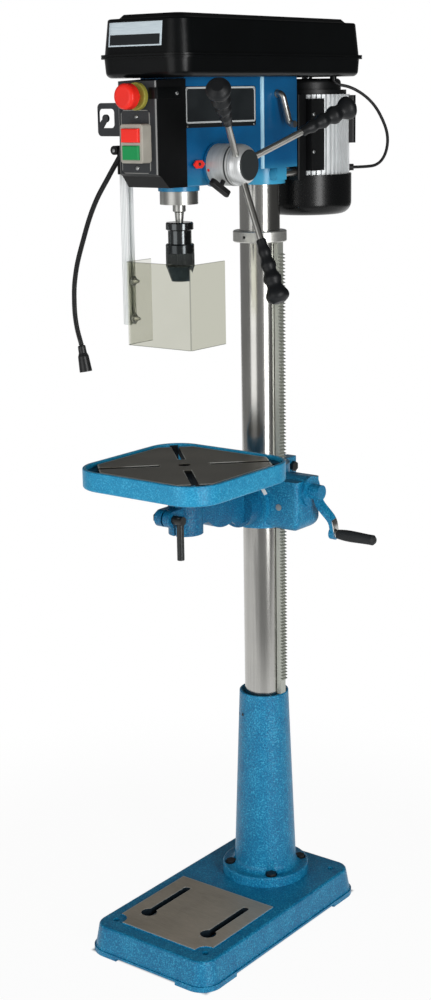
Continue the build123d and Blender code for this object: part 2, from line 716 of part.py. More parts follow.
with BuildPart() as chuck_sleeve:
    turned([(16 + run_fit, 1304), (22.6, 1304), (24.3, 1302), (24.3, 1266), (23, 1263), (15.3, 1241), (10, 1241),
            (10, 1244.5), (16 + run_fit, 1247.5), (16 + run_fit, 1268), (21.2, 1276), (21.2, 1299),
            (16 + run_fit, 1299)], 0, spindle_y)
    for x, y in spokes(24, 25.1, 0, spindle_y):
        upright(1.3, 1267, 1288, x, y, Mode.SUBTRACT)
keep(chuck_sleeve, "chuck_sleeve")

for number, line in enumerate(jaw_lines, 1):
    with BuildPart() as jaw:
        along(line, jaw_radius, 0, jaw_length)
        chamfer(jaw.faces().sort_by(Axis.Z)[0].edges(), length=1.2)
    keep(jaw, f"chuck_jaw_{number}")

# Feed hub with its pinion shaft
rod_planes = []
for turn in rod_angles:
    out = Vector(0, cos(radians(turn)), sin(radians(turn)))
    lead = out * cos(radians(rod_tilt)) + Vector(sin(radians(rod_tilt)), 0, 0)
    root_point = Vector(rod_root_x, feed_y, feed_z) + out * rod_root
    rod_planes.append(Plane(root_point, x_dir=lead.cross(out), z_dir=lead))
with BuildPart() as feed_hub:
    with BuildSketch(Plane.YZ):
        with BuildLine():
            Polyline(*[(feed_y + y, feed_z + z) for y, z in gear_outline(pinion_teeth, pi)], close=True)
        make_face()
    extrude(amount=12, both=True)
    crosswise(9.5, -30, 24, feed_y, feed_z)
    crosswise(10, -74, -22.5, feed_y, feed_z)
    crosswise(16, 22, 54, feed_y, feed_z)
    crosswise(22, 53.4, 97, feed_y, feed_z)
    with BuildSketch(Plane((0, feed_y, feed_z), x_dir=(1, 0, 0), z_dir=(0, -1, 0))) as nose:
        with BuildLine():
            Polyline((96, 0), (96, 33.2), (97, 34.2), (102, 34.2))
            ThreePointArc((102, 34.2), (111, 31.2), (117, 26))
            Polyline((117, 26), (117, 25.2), (118.6, 25.2), (119.4, 24.4), (119.4, 0), (96, 0))
        make_face()
    revolve(nose.sketch, axis=Axis((0, feed_y, feed_z), (1, 0, 0)))
    for plane in rod_planes:
        along(plane, rod_radius + run_fit, -12, 20, Mode.SUBTRACT)
keep(feed_hub, "feed_hub")

with BuildPart() as feed_rods:
    for plane in rod_planes:
        along(plane, rod_radius, -11.5, rod_length)
keep(feed_rods, "feed_rods")

grip_waves = [(8.4, 100), (8.7, 111), (10.6, 120), (9.1, 129), (13, 143), (10.7, 152.5), (15.7, 166), (12.8, 177),
              (19.3, 192), (18.4, 201), (11.5, 206.8), (0, 208)]
with BuildPart() as feed_grips:
    for plane in rod_planes:
        with BuildSketch(Plane(plane.origin, x_dir=plane.x_dir, z_dir=plane.x_dir.cross(plane.z_dir))):
            with BuildLine():
                Spline(*grip_waves, tangents=((0, 1), (-1, 0)))
                Polyline((0, 208), (0, rod_length + 0.1), (5.55, rod_length + 0.1), (5.55, 98), (7.5, 98), (8.4, 100))
            make_face()
        revolve(axis=Axis(plane.origin, plane.z_dir))
keep(feed_grips, "feed_grips")

# Depth ring on the hub with its locking knob
lock_x = 81.0
lock_out = Vector(0, -0.669, -0.743).normalized()
lock_side = Vector(0.403, 0.68, -0.612).normalized()
lock_plane = Plane((lock_x, feed_y, feed_z), x_dir=lock_side, z_dir=lock_out)
with BuildPart() as depth_ring:
    crosswise(34.5, 53.7, 95.6, feed_y, feed_z)
    crosswise(22 + run_fit, 50, 100, feed_y, feed_z, Mode.SUBTRACT)
    along(lock_plane, 4 + run_fit, 20, 40, Mode.SUBTRACT)
keep(depth_ring, "depth_ring")

with BuildPart() as depth_lock:
    along(lock_plane, 4, 24, 45)
    with BuildSketch(lock_plane.offset(44)):
        SlotOverall(41, 11)
    extrude(amount=10)
    fillet(depth_lock.faces().sort_by(Axis(lock_plane.origin, lock_out))[-1].edges(), radius=2)
keep(depth_lock, "depth_lock")

# Return spring in its housing on the left
with BuildPart() as spring_housing:
    crosswise(38, -82, -53, feed_y, feed_z)
    fillet(spring_housing.faces().sort_by(Axis.X)[0].edges(), radius=4)
    crosswise(33.5, -78, -50, feed_y, feed_z, Mode.SUBTRACT)
keep(spring_housing, "spring_housing")

spring_turns = 5
spring_steps = 24 * spring_turns
coil = []
for index in range(spring_steps + 1):
    angle = 2 * pi * index / 24
    coil.append((10.6 + 21.4 * index / spring_steps, angle))
with BuildPart() as return_spring:
    with BuildSketch(Plane.YZ.offset(-74)):
        with BuildLine():
            inner = [(feed_y + r * cos(a), feed_z + r * sin(a)) for r, a in coil]
            outer = [(feed_y + (r + 0.9) * cos(a), feed_z + (r + 0.9) * sin(a)) for r, a in reversed(coil)]
            Polyline(*inner, *outer, close=True)
        make_face()
    extrude(amount=18)
keep(return_spring, "return_spring")

# Belt cover: fixed pan with hinge pins, and the lid
knuckle_rows = (-60.0, 200.0)
with BuildPart() as cover_pan:
    tapered((175, 533, 30, pan_low), (181, 539, 34, 1607), cover_y)
    fillet(cover_pan.faces().sort_by(Axis.Z)[0].edges(), radius=10)
    slab(rim_width, rim_length, rim_corner, pan_high - rim_lip, pan_high, cover_y)
    slab(169, 527, 28, pan_low + 3, pan_high + 1, cover_y, Mode.SUBTRACT)
    for y in knuckle_rows:
        block((lid_hinge_x, -89), (y - 28, y + 28), (1604, 1607.5))
        lengthwise(5, y - 28, y - 12.4, lid_hinge_x, lid_hinge_z)
        lengthwise(5, y + 12.4, y + 28, lid_hinge_x, lid_hinge_z)
        block((-110, -95.8), (y - 12.4, y + 12.4), (1600, 1615), Mode.SUBTRACT)
        lengthwise(2.5, y - 28, y + 28, lid_hinge_x, lid_hinge_z)
    upright(32, 1570, 1580, 0, spindle_y, Mode.SUBTRACT)
    upright(17, 1570, 1580, idler_pivot[0], idler_pivot[1], Mode.SUBTRACT)
    with BuildSketch(Plane((0, motor_y, 1570))):
        SlotOverall(62, 36, rotation=90)
    extrude(amount=12, mode=Mode.SUBTRACT)
    upright(6, 1568, 1578, 70, 262)
    upright(3.05, 1560, 1585, 70, 262, Mode.SUBTRACT)
keep(cover_pan, "cover_pan")

with BuildPart() as cover_lid:
    tapered((179, 537, 32, lid_low), (167, 525, 28, lid_shoulder), cover_y)
    fillet(cover_lid.faces().sort_by(Axis.Z)[-1].edges(), radius=4)
    slab(rim_width, rim_length, rim_corner, lid_low, lid_low + rim_lip, cover_y)
    tapered((137, 495, 18, lid_shoulder - 0.5), (121, 479, 12, lid_high), cover_y)
    tapered((173, 531, 29, lid_low - 0.5), (161, 519, 25, lid_shoulder - 3), cover_y, Mode.SUBTRACT)
    slab(117, 475, 10, lid_shoulder - 4, lid_high - 3, cover_y, Mode.SUBTRACT)
    for y in knuckle_rows:
        block((lid_hinge_x, -90), (y - 12, y + 12), (1611, 1614.5))
        lengthwise(5, y - 12, y + 12, lid_hinge_x, lid_hinge_z)
        lengthwise(2.5 + run_fit, y - 30, y + 30, lid_hinge_x, lid_hinge_z, Mode.SUBTRACT)
keep(cover_lid, "cover_lid")


def step_profile(steps, bore):
    """Half section of a step pulley as (radius, z) points, grooves cut in each step."""
    points = [(bore, pulley_low), (bore, pulley_high)]
    for index, radius in enumerate(steps):
        middle = pulley_high - (index + 0.5) * step_height
        half = step_height / 2
        points += [(radius, middle + half), (radius, middle + 6.8), (radius - groove_depth, middle + 3),
                   (radius - groove_depth, middle - 3), (radius, middle - 6.8), (radius, middle - half)]
    return points


# Step pulleys and their bearings
with BuildPart() as pulley_bearings:
    upright(26 - run_fit, 1545.3, 1558, 0, spindle_y)
    upright(26 - run_fit, 1562, 1575.5, 0, spindle_y)
    upright(15 + run_fit, 1540, 1580, 0, spindle_y, Mode.SUBTRACT)
keep(pulley_bearings, "pulley_bearings")

with BuildPart() as spindle_pulley:
    turned(step_profile(spindle_steps, 10 + run_fit), 0, spindle_y)
    upright(15, 1546, pulley_low + 1, 0, spindle_y)
    upright(10 + run_fit, 1540, pulley_high + 1, 0, spindle_y, Mode.SUBTRACT)
keep(spindle_pulley, "spindle_pulley")

with BuildPart() as idler_arm:
    with BuildSketch(Plane.XY.offset(1579.4)):
        with BuildLine():
            CenterArc((idler_pivot[0], idler_pivot[1]), 15, 0, 360)
            CenterArc((0, idler_y), 15, 0, 360)
        make_hull()
    extrude(amount=6)
    upright(8, 1552, 1580, idler_pivot[0], idler_pivot[1])
    upright(8, 1585, 1660, 0, idler_y)
keep(idler_arm, "idler_arm")

with BuildPart() as idler_pulley:
    turned(step_profile(idler_steps, 8 + run_fit), 0, idler_y)
keep(idler_pulley, "idler_pulley")

with BuildPart() as motor_pulley:
    turned(step_profile(motor_steps, 0), 0, motor_y)
    upright(9.6, 1480, pulley_low + 1, 0, motor_y)
keep(motor_pulley, "motor_pulley")


def belt(first_y, first_radius, second_y, second_radius, z):
    """V-belt round two pulleys: section swept along the pitch line."""
    lean = asin((first_radius - second_radius) / (second_y - first_y))
    side = (cos(lean), sin(lean))
    near = [(sign * first_radius * side[0], first_y + first_radius * side[1]) for sign in (1, -1)]
    far = [(sign * second_radius * side[0], second_y + second_radius * side[1]) for sign in (1, -1)]
    with BuildLine(Plane.XY.offset(z)) as path:
        Line(near[0], far[0])
        ThreePointArc(far[0], (0, second_y + second_radius), far[1])
        Line(far[1], near[1])
        ThreePointArc(near[1], (0, first_y - first_radius), near[0])
    start = (near[0][0], near[0][1], z)
    with BuildSketch(Plane(start, x_dir=(side[0], side[1], 0), z_dir=(-side[1], side[0], 0))) as section:
        with BuildLine():
            Polyline((3, -5.8), (3, 5.8), (-4.5, 3.1), (-4.5, -3.1), close=True)
        make_face()
    sweep(section.sketch, path=path.line)


with BuildPart() as drive_belts:
    belt(spindle_y, spindle_steps[1] - belt_seat, idler_y, idler_steps[1] - belt_seat,
         pulley_high - 1.5 * step_height)
    belt(idler_y, idler_steps[2] - belt_seat, motor_y, motor_steps[2] - belt_seat,
         pulley_high - 2.5 * step_height)
keep(drive_belts, "drive_belts")

# Motor: finned body, end bell, fan cover, boxes, mounting plate and slide bars
motor_right = Vector(0.79, 0.613, 0).normalized()
with BuildPart() as motor_body:
    with BuildSketch(Plane((0, motor_y, motor_low))):
        with BuildLine():
            Polyline(*toothed(fin_count, fin_root, fin_radius, 2.2, 1.4), close=True)
        make_face()
    extrude(amount=motor_high - motor_low)
    block((-42, 33.5), (179, 225), (1425, 1525))
    along(Plane((0, motor_y, 1413), z_dir=motor_right), 6, 60, 86)
    along(Plane((0, motor_y, 1413), z_dir=motor_right), 3.05, 80, 90, Mode.SUBTRACT)
    upright(9.6 + run_fit, 1478, 1550, 0, motor_y, Mode.SUBTRACT)
keep(motor_body, "motor_body")

with BuildPart() as motor_end_bell:
    upright(72, motor_high, 1553, 0, motor_y)
    upright(62, 1552, 1573, 0, motor_y)
    fillet(motor_end_bell.faces().sort_by(Axis.Z)[-1].edges(), radius=8)
    upright(9.6 + run_fit, 1540, 1580, 0, motor_y, Mode.SUBTRACT)
keep(motor_end_bell, "motor_end_bell")

with BuildPart() as fan_cover:
    upright(fan_radius, fan_low, motor_low, 0, motor_y)
    fillet(fan_cover.faces().sort_by(Axis.Z)[0].edges(), radius=22)
    upright(fan_radius - 3, fan_low + 18, motor_low, 0, motor_y, Mode.SUBTRACT)
    upright(fan_radius - 19, fan_low + 3, fan_low + 19, 0, motor_y, Mode.SUBTRACT)
    with BuildSketch(Plane((0, motor_y, fan_low - 1))):
        with PolarLocations(40, 12):
            SlotOverall(34, 6)
    extrude(amount=6, mode=Mode.SUBTRACT)
keep(fan_cover, "fan_cover")

box_plane = Plane((0, motor_y, 1458), x_dir=motor_right, z_dir=(0, 0, 1))
with BuildPart() as motor_boxes:
    block((34, 66), (198, 250), (1412, 1538))
    with BuildSketch(box_plane):
        with Locations((77, 0)):
            RectangleRounded(22, 44, 6)
    extrude(amount=85)
    upright(fin_radius + 0.1, 1400, 1550, 0, motor_y, Mode.SUBTRACT)
keep(motor_boxes, "motor_boxes")

with BuildPart() as motor_plate:
    block((-57, 57), (171, 179), (1397, motor_high))
    block((-57, -51), (178, 193), (1397, motor_high))
    block((51, 57), (178, 193), (1397, motor_high))
    fillet(motor_plate.edges().filter_by(Axis.Z).group_by(Axis.Y)[0], radius=3)
    block((-36, 36), (165, 200), (1390, 1424), Mode.SUBTRACT)
keep(motor_plate, "motor_plate")

with BuildPart() as slide_bars:
    for z in (slide_bar_low_z, slide_bar_high_z):
        lengthwise(slide_bar_radius, 112, 171, slide_bar_x, z)
keep(slide_bars, "slide_bars")

with BuildPart() as tension_lever:
    with BuildLine() as rod:
        FilletPolyline((40, lever_y, lever_z), (72, lever_y, lever_z), (78, 112, 1496), (90, 112, 1496), radius=9)
    with BuildSketch(Plane(rod.line @ 0, z_dir=rod.line % 0)):
        Circle(6)
    sweep(path=rod.line)
    crosswise(7, 40, 62, lever_y, lever_z)
keep(tension_lever, "tension_lever")

# Cable loop from the cover to the motor
cable_points = []
for reach, depth, z in ((43.7, 58, 1574), (43.7, 58, 1563), (80, 50, 1557), (118, 40, 1530), (140.7, 28, 1491),
                        (148.2, 20, 1463), (144, 12, 1434), (130, 6, 1416), (106, 0, 1413), (82, 0, 1413)):
    cable_points.append((reach * 0.79 + depth * 0.613, motor_y + reach * 0.613 - depth * 0.79, z))
with BuildPart() as motor_cable:
    with BuildLine() as cable_path:
        FilletPolyline(*cable_points, radius=(6, 40, 60, 60, 60, 50, 30, 40))
    with BuildSketch(Plane(cable_path.line @ 0, z_dir=cable_path.line % 0)):
        Circle(2.75)
    sweep(path=cable_path.line)
keep(motor_cable, "motor_cable")
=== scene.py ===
# %% [markdown]
# # A pillar drill, dressed for its portrait
# The solid model of the drill comes in first, as a fixed frame. Everything after this cell adds
# finishes and small fittings around it, and nothing in the frame is moved. The machine's four
# upright axes and three helpers that many steps share come here as well.

# %% Load the frame
from math import atan2, cos, radians, sin

import bmesh
import bpy
from mathutils import Matrix, Vector


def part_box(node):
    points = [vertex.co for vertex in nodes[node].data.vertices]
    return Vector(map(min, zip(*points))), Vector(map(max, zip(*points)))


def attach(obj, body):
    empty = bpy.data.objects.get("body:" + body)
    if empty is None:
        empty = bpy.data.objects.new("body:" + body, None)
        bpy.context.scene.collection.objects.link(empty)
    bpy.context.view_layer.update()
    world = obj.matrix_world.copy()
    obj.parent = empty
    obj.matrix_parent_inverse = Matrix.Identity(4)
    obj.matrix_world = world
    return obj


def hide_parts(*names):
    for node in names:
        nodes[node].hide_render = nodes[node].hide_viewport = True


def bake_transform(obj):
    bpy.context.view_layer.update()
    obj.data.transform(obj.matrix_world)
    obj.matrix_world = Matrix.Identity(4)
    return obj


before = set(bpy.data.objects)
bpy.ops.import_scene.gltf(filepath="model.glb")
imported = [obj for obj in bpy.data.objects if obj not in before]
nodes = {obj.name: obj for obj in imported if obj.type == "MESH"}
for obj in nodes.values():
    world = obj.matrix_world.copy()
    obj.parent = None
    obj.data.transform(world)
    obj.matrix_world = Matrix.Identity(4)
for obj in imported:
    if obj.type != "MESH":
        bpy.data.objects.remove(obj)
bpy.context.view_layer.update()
spindle_y, idler_y, column_y, motor_y = -0.102, 0.089, 0.129, 0.281
right_out, front_out = Vector((1, 0, 0)), Vector((0, -1, 0))


def add_object(name, data):
    """A new object in the scene."""
    made = bpy.data.objects.new(name, data)
    bpy.context.scene.collection.objects.link(made)
    return made


def alone(piece):
    """Makes a piece the only selected one."""
    bpy.ops.object.select_all(action="DESELECT")
    piece.select_set(True)
    bpy.context.view_layer.objects.active = piece


def turned(place, x, y, z):
    """The matrix of a place and three axes."""
    return Matrix.Translation(Vector(place)) @ Matrix((x, y, z)).transposed().to_4x4()


# %% [markdown]
# The picture was taken from the front right, a little above the head of the machine. The camera
# is built from its three directions, so that a small roll of the tripod can be kept as well.

# %% Camera
camera_place = Vector((1.7414, -2.279, 1.5485))
yaw, pitch, roll = radians(37.564), radians(13.963), radians(-0.931)
level = Vector((cos(yaw), sin(yaw), 0))
away = Vector((-sin(yaw), cos(yaw), 0))
forward = away * cos(pitch) - Vector((0, 0, sin(pitch)))
upward = level.cross(forward)
right = cos(roll) * level + sin(roll) * upward
above = -sin(roll) * level + cos(roll) * upward
camera = add_object("camera", bpy.data.cameras.new("camera"))
camera.data.sensor_width = 36.0
camera.data.lens = 58.76
camera.matrix_world = turned(camera_place, right, above, -forward)
bpy.context.scene.camera = camera
print("camera at", tuple(camera_place))

# %% [markdown]
# A shader is a graph of nodes, which is slow to read as a list of links. A small class wraps one
# socket, so that `1 - mask` or `grain * 0.2` adds the Math node by itself. One method makes every
# other kind of node: its settings go in first, then the values or wires of its sockets.

# %% Writing finishes as sums
class Wire:
    """One output of a graph, usable in sums."""

    def __init__(self, graph, socket):
        self.graph, self.socket = graph, socket

    def math(self, operation, first, second=0.0):
        return self.graph.node("ShaderNodeMath", {"operation": operation}, {0: first, 1: second})

    def __add__(self, other):
        return self.math("ADD", self, other)

    def __sub__(self, other):
        return self.math("SUBTRACT", self, other)

    def __rsub__(self, other):
        return self.math("SUBTRACT", other, self)

    def __mul__(self, other):
        return self.math("MULTIPLY", self, other)

    def __truediv__(self, other):
        return self.math("DIVIDE", self, other)

    __radd__, __rmul__ = __add__, __mul__

    def over(self, limit, blur):
        """1 where the value is over the limit, with a soft edge of that width."""
        return self.graph.node("ShaderNodeMapRange", {"interpolation_type": "SMOOTHSTEP"},
                               {0: self, 1: limit - blur / 2, 2: limit + blur / 2})

    def under(self, limit, blur):
        """1 where the value is under the limit."""
        return 1 - self.over(limit, blur)

    def size(self):
        return self.math("ABSOLUTE", self)

    def wave(self):
        return self.math("SINE", self)

    def most(self, other):
        return self.math("MAXIMUM", self, other)

    def least(self, other):
        return self.math("MINIMUM", self, other)

    def along(self, direction):
        """How far a vector goes in a direction."""
        return self.graph.node("ShaderNodeVectorMath", {"operation": "DOT_PRODUCT"},
                               {0: self, 1: tuple(direction)}, out=1)


class Graph:
    """A tree of nodes that is written in expressions."""

    def __init__(self, tree):
        self.tree = tree

    def node(self, kind, settings=None, sockets=None, out=0):
        made = self.tree.nodes.new(kind)
        for name, value in (settings or {}).items():
            if name == "stops":
                while len(made.color_ramp.elements) < len(value):
                    made.color_ramp.elements.new(0.5)
                for stop, (spot, colour) in zip(made.color_ramp.elements, value):
                    stop.position, stop.color = spot, (*colour[:3], 1)
            else:
                setattr(made, name, value)
        for name, value in (sockets or {}).items():
            self.feed(made.inputs[name], value)
        return Wire(self, made.outputs[out])

    def feed(self, socket, value):
        if isinstance(value, Wire):
            self.tree.links.new(value.socket, socket)
        elif socket.type == "RGBA":
            socket.default_value = (*value[:3], 1)
        else:
            socket.default_value = value

    def outputs(self, wire, names):
        """Several outputs of the node that a wire comes from."""
        return [Wire(self, wire.socket.node.outputs[name]) for name in names]

    def split(self, place=None):
        """The three parts of a place."""
        return self.outputs(self.node("ShaderNodeSeparateXYZ", {}, {0: place or self.place}), range(3))

    def rays(self):
        """1 for rays from the camera, from a mirror, and through a clear body."""
        names = "Is Camera Ray", "Is Glossy Ray", "Is Transmission Ray"
        return self.outputs(self.node("ShaderNodeLightPath"), names)

    def end(self, kind, wire):
        """Ends the graph in an output node."""
        self.tree.links.new(wire.socket, self.tree.nodes.new(kind).inputs[0])


class Finish(Graph):
    """A material with its graph: `set` writes the shader's own sockets."""

    def __init__(self, name, mirror=0.5):
        self.material = bpy.data.materials.new(name)
        self.material.use_nodes = True
        super().__init__(self.material.node_tree)
        self.shader = self.tree.nodes["Principled BSDF"]
        self.place = self.node("ShaderNodeTexCoord", out="Object")
        self.set(Specular_IOR_Level=mirror)

    def set(self, **sockets):
        for name, value in sockets.items():
            self.feed(self.shader.inputs[name.replace("_", " ")], value)
        return self

    def stretched(self, x, y, z):
        return self.node("ShaderNodeMapping", {}, {0: self.place, "Scale": (x, y, z)})

    def noise(self, scale, detail=3.0, where=None, rough=0.5):
        sockets = {"Vector": where or self.place, "Scale": scale, "Detail": detail, "Roughness": rough}
        return self.node("ShaderNodeTexNoise", {}, sockets)

    def lines(self, *squeeze):
        """Fine lines: squeeze is how closely they follow one another along each axis."""
        return self.noise(30.0, 4.0, self.stretched(*squeeze), 0.65)

    def ramp(self, value, *stops):
        return self.node("ShaderNodeValToRGB", {"stops": stops}, {0: value})

    def shades(self, value, low, high):
        """A change of tone over the middle of a noise."""
        return self.ramp(value, (0.3, low), (0.7, high))

    def blend(self, share, first, second):
        return self.node("ShaderNodeMix", {"data_type": "RGBA"}, {0: share, 6: first, 7: second}, out=2)

    def bump(self, height, depth, strength=1.0):
        return self.node("ShaderNodeBump", {}, {"Height": height, "Distance": depth, "Strength": strength})

    def near(self, point, radius, blur):
        """1 within a radius of a point, with a soft edge."""
        far = self.node("ShaderNodeVectorMath", {"operation": "DISTANCE"}, {0: self.place, 1: point}, out=1)
        return far.under(radius, blur)


def outside(wires, middle, half, blur):
    """1 outside a rectangle: the wires of its two directions, its middle and its half sizes."""
    first, second = ((wire - spot).size() - reach for wire, spot, reach in zip(wires, middle, half))
    return first.most(second).over(0.0, blur)


def colour(red, green, blue):
    """A screen colour from 0 to 255, as the linear values that a shader takes."""
    values = [part / 255 for part in (red, green, blue)]
    return tuple(part / 12.92 if part < 0.04045 else ((part + 0.055) / 1.055) ** 2.4 for part in values)


print("finish writer ready, mid grey is", colour(128, 128, 128))

# %% [markdown]
# A short cable leaves the belt cover, hangs in one loop and goes into the side of the motor. It
# has no plug, because both its ends are in the machine. A smooth curve through a few guide points
# is closer to a hanging lead than a bent tube, so it stands in for the plain solid. The motor slides
# to tighten the belt. The curve becomes a mesh.

# %% Motor cable
cable_route = [(70.08, 261.97, 1574), (70.08, 261.97, 1563), (93.85, 290.54, 1557), (117.74, 321.73, 1530),
               (128.32, 345.13, 1491), (129.34, 356.05, 1463), (121.12, 359.79, 1434), (106.38, 355.95, 1416),
               (83.74, 345.98, 1413), (64.78, 331.27, 1413)]
cable_radius = 0.00275
cable_data = bpy.data.curves.new("cable_loop", "CURVE")
cable_data.dimensions = "3D"
cable_data.resolution_u = 16
cable_data.bevel_resolution = 5
cable_data.use_fill_caps = True
lead = cable_data.splines.new("NURBS")
lead.points.add(len(cable_route) - 1)
for point, place in zip(lead.points, cable_route):
    point.co = (*(part / 1000 for part in place), 1)
    point.radius = cable_radius
lead.order_u = 3
lead.use_endpoint_u = True
cable = add_object("cable_loop", cable_data)
cable_line = [tuple(point.co) for point in cable.to_mesh().vertices]
cable.to_mesh_clear()
cable_data.bevel_depth = 1.0
alone(cable)
bpy.ops.object.convert(target="MESH")
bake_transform(cable)
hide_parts("motor_cable")

# %% [markdown]
# Most castings carry a hammered paint: while it dries, the paint pulls into little bowls two or
# three millimetres wide, with a paler skin between them. Smooth cells give the bowls, and the same
# value moves the colour, the gloss and the bump. The table's coat is painted brighter, as painted
# light on the lit table, and its arm's coat darker, as painted shade under the table. The head's
# coat is smoother, with a painted highlight along the step in its side and a painted reflection
# that makes it lighter towards its lower edge, most near the column.

# %% Blue paints
plain_paint = (colour(2, 86, 130), colour(12, 120, 164), colour(66, 172, 208))
# Painted light: the table's copy of the plain blue, brighter where light falls on it.
painted_light_tones = (colour(10, 118, 164), colour(26, 142, 186), colour(74, 180, 216))
# Painted shade: the arm's copy of the plain blue, darker as under the table.
painted_shade_tones = (colour(0, 70, 110), colour(6, 96, 138), colour(40, 140, 178))
bowl_depth = 0.0009
paint_mirror, weak_mirror = 0.35, 0.3


def hammered(finish, tones=plain_paint):
    """Colour, gloss and height of the hammered blue."""
    drift = finish.noise(34.0, 2.0)
    pull = finish.node("ShaderNodeTexNoise", {}, {"Vector": finish.place, "Scale": 150.0}, out=1)
    warped = finish.node("ShaderNodeVectorMath", {"operation": "MULTIPLY_ADD"},
                         {0: pull, 1: (0.005, 0.005, 0.005), 2: finish.place})
    bowls = finish.node("ShaderNodeTexVoronoi", {"feature": "SMOOTH_F1"},
                        {"Vector": warped, "Scale": 430.0, "Smoothness": 0.7})
    tone = finish.ramp(bowls * 0.7 + drift * 0.3, (0.2, tones[0]), (0.5, tones[1]), (0.85, tones[2]))
    return tone, 0.3 + bowls * 0.16, bowls


def painted(name, tones):
    """A casting that is hammered blue all over."""
    finish = Finish(name, paint_mirror)
    tone, gloss, bowls = hammered(finish, tones)
    return finish.set(Base_Color=tone, Roughness=gloss, Normal=finish.bump(bowls, bowl_depth, 0.8))


blue_hammer = painted("blue_hammered_paint", plain_paint)
shaded_arm = painted("blue_arm_paint", painted_shade_tones)

step_x, step_y, low_edge, column_side = 0.0563, 0.0586, 1.42, 0.06
blue_head = Finish("blue_head_paint", paint_mirror)
across, along, height = blue_head.split()
cloud = blue_head.noise(14.0, 3.0)
peel = blue_head.noise(420.0, 2.0)
# Painted highlight: a pale line along the step in the head's side, where the light glints.
step_highlight = (along - step_y).size().under(0.0026, 0.0012) * across.over(step_x, 0.0006)
# Painted reflection: the coat is lighter towards the lower edge, most near the column.
low_reflection = height.under(low_edge, 0.036) * (0.32 + along.over(column_side, 0.05) * 0.5)
coat = blue_head.ramp(cloud, (0.25, colour(6, 78, 126)), (0.75, colour(10, 92, 142)))
coat = blue_head.blend(low_reflection, coat, colour(70, 170, 208))
blue_head.set(Base_Color=blue_head.blend(step_highlight * (0.6 + cloud * 0.5), coat, colour(176, 220, 238)),
              Roughness=0.2 + peel * 0.1, Normal=blue_head.bump(peel, 0.0004, 0.2))
print("blue paints:", blue_hammer.material.name, shaded_arm.material.name, blue_head.material.name)

# %% [markdown]
# Bare iron is left where work is clamped: the plate of the table and the pad of the base. Both
# are part of a painted casting, so the finish looks at the height of each point and changes from
# paint to iron there. The slots, the keyholes and the gutter are painted nearly black and rougher,
# as painted shade in these recesses. A pale line runs along each edge: rubbed wear, which along
# the table's slot sides is also a painted highlight of the lit slot walls.

# %% Machined table and base
iron_edge = colour(190, 192, 186)
# Nearly black, painted as shade in the slots, keyholes and gutter.
shade_black = colour(10, 11, 11)


def machined(finish, bare, edge, shade_mask, iron_tones, tones):
    """A hammered casting with iron where bare is 1, pale along edge and painted dark as shade in shade_mask."""
    tone, gloss, bowls = hammered(finish, tones)
    grain = finish.noise(60.0, 6.0, finish.stretched(1.0, 14.0, 1.0), 0.6)
    stain = finish.noise(9.0, 3.0)
    iron = finish.blend(edge, finish.shades(grain * 0.5 + stain * 0.5, *iron_tones), iron_edge)
    rough = gloss * (1 - bare) + bare * (0.36 + grain * 0.18) + shade_mask * 0.45
    relief = finish.bump(bowls * (1 - bare) + grain * bare * 0.12, bowl_depth, 0.45)
    finish.set(Base_Color=finish.blend(shade_mask, finish.blend(bare, tone, iron), shade_black), Metallic=bare * 0.3,
               Roughness=rough, Normal=relief)


diagonal = 1.4142
plate_half, plate_cut, plate_low, plate_top = 0.129, 0.1506, 0.9135, 0.9188
slot_half, slot_start, slot_end, slot_low = 0.007, 0.042, 0.104, 0.889
gutter_half, gutter_cut, gutter_low, gutter_high = 0.1392, 0.1735, 0.9105, 0.9142
table_finish = Finish("table_casting", paint_mirror)
across, along, height = table_finish.split()
from_middle = along - spindle_y
plate_reach = across.size().most(from_middle.size())
plate_corner = (across.size() + from_middle.size()) / diagonal
plate_edge = (plate_reach - plate_half).most(plate_corner - plate_cut)
inside = plate_edge.under(0.0002, 0.0004)
bare = inside * height.over(plate_low, 0.001)
slot_a, slot_b = ((across + from_middle) / diagonal).size(), ((across - from_middle) / diagonal).size()
slot_near, slot_reach = slot_a.least(slot_b), slot_a.most(slot_b)
slot_run = slot_reach.over(slot_start, 0.002) * slot_reach.under(slot_end, 0.02)
# Pale line: rubbed wear along the plate edge, and along the slot sides also a painted highlight of the lit slot
# walls.
slot_side = (slot_near - slot_half).size().under(0.001, 0.001) * slot_run
wear_and_highlight = plate_edge.over(-0.0022, 0.0016).most(slot_side) * bare
# The slot bottoms, the slot walls below the plate and the gutter are painted nearly black, as painted shade.
slot_lane = slot_near.under(slot_half + 0.0008, 0.0006) * plate_corner.under(gutter_cut + 0.001, 0.0008)
slot_wall = inside.most(slot_lane) * height.under(plate_top, 0.0006) * height.over(slot_low, 0.002)
gutter = (1 - inside) * height.over(gutter_low, 0.002) * height.under(gutter_high, 0.0008)
gutter = gutter * plate_reach.under(gutter_half, 0.0008) * plate_corner.under(gutter_cut, 0.0008)
machined(table_finish, bare, wear_and_highlight * 0.8, slot_wall.most(gutter * 0.6) * 0.98,
         (colour(92, 90, 82), colour(122, 118, 108)), painted_light_tones)

pad_half_x, pad_half_y, pad_y, pad_top = 0.108, 0.1055, -0.1025, 0.0571
key_x, key_y, key_half, key_reach, key_low = 0.07, -0.098, 0.0158, 0.0705, 0.03
base_finish = Finish("base_casting", paint_mirror)
across, along, height = base_finish.split()
pad_edge = (across.size() - pad_half_x).most((along - pad_y).size() - pad_half_y)
bare = height.over(pad_top + 0.0001, 0.0006) * pad_edge.under(0.0002, 0.0004)
from_key = (across.size() - key_x).size()
in_key = from_key.under(key_half, 0.0004) * (along - key_y).size().under(key_reach, 0.0005)
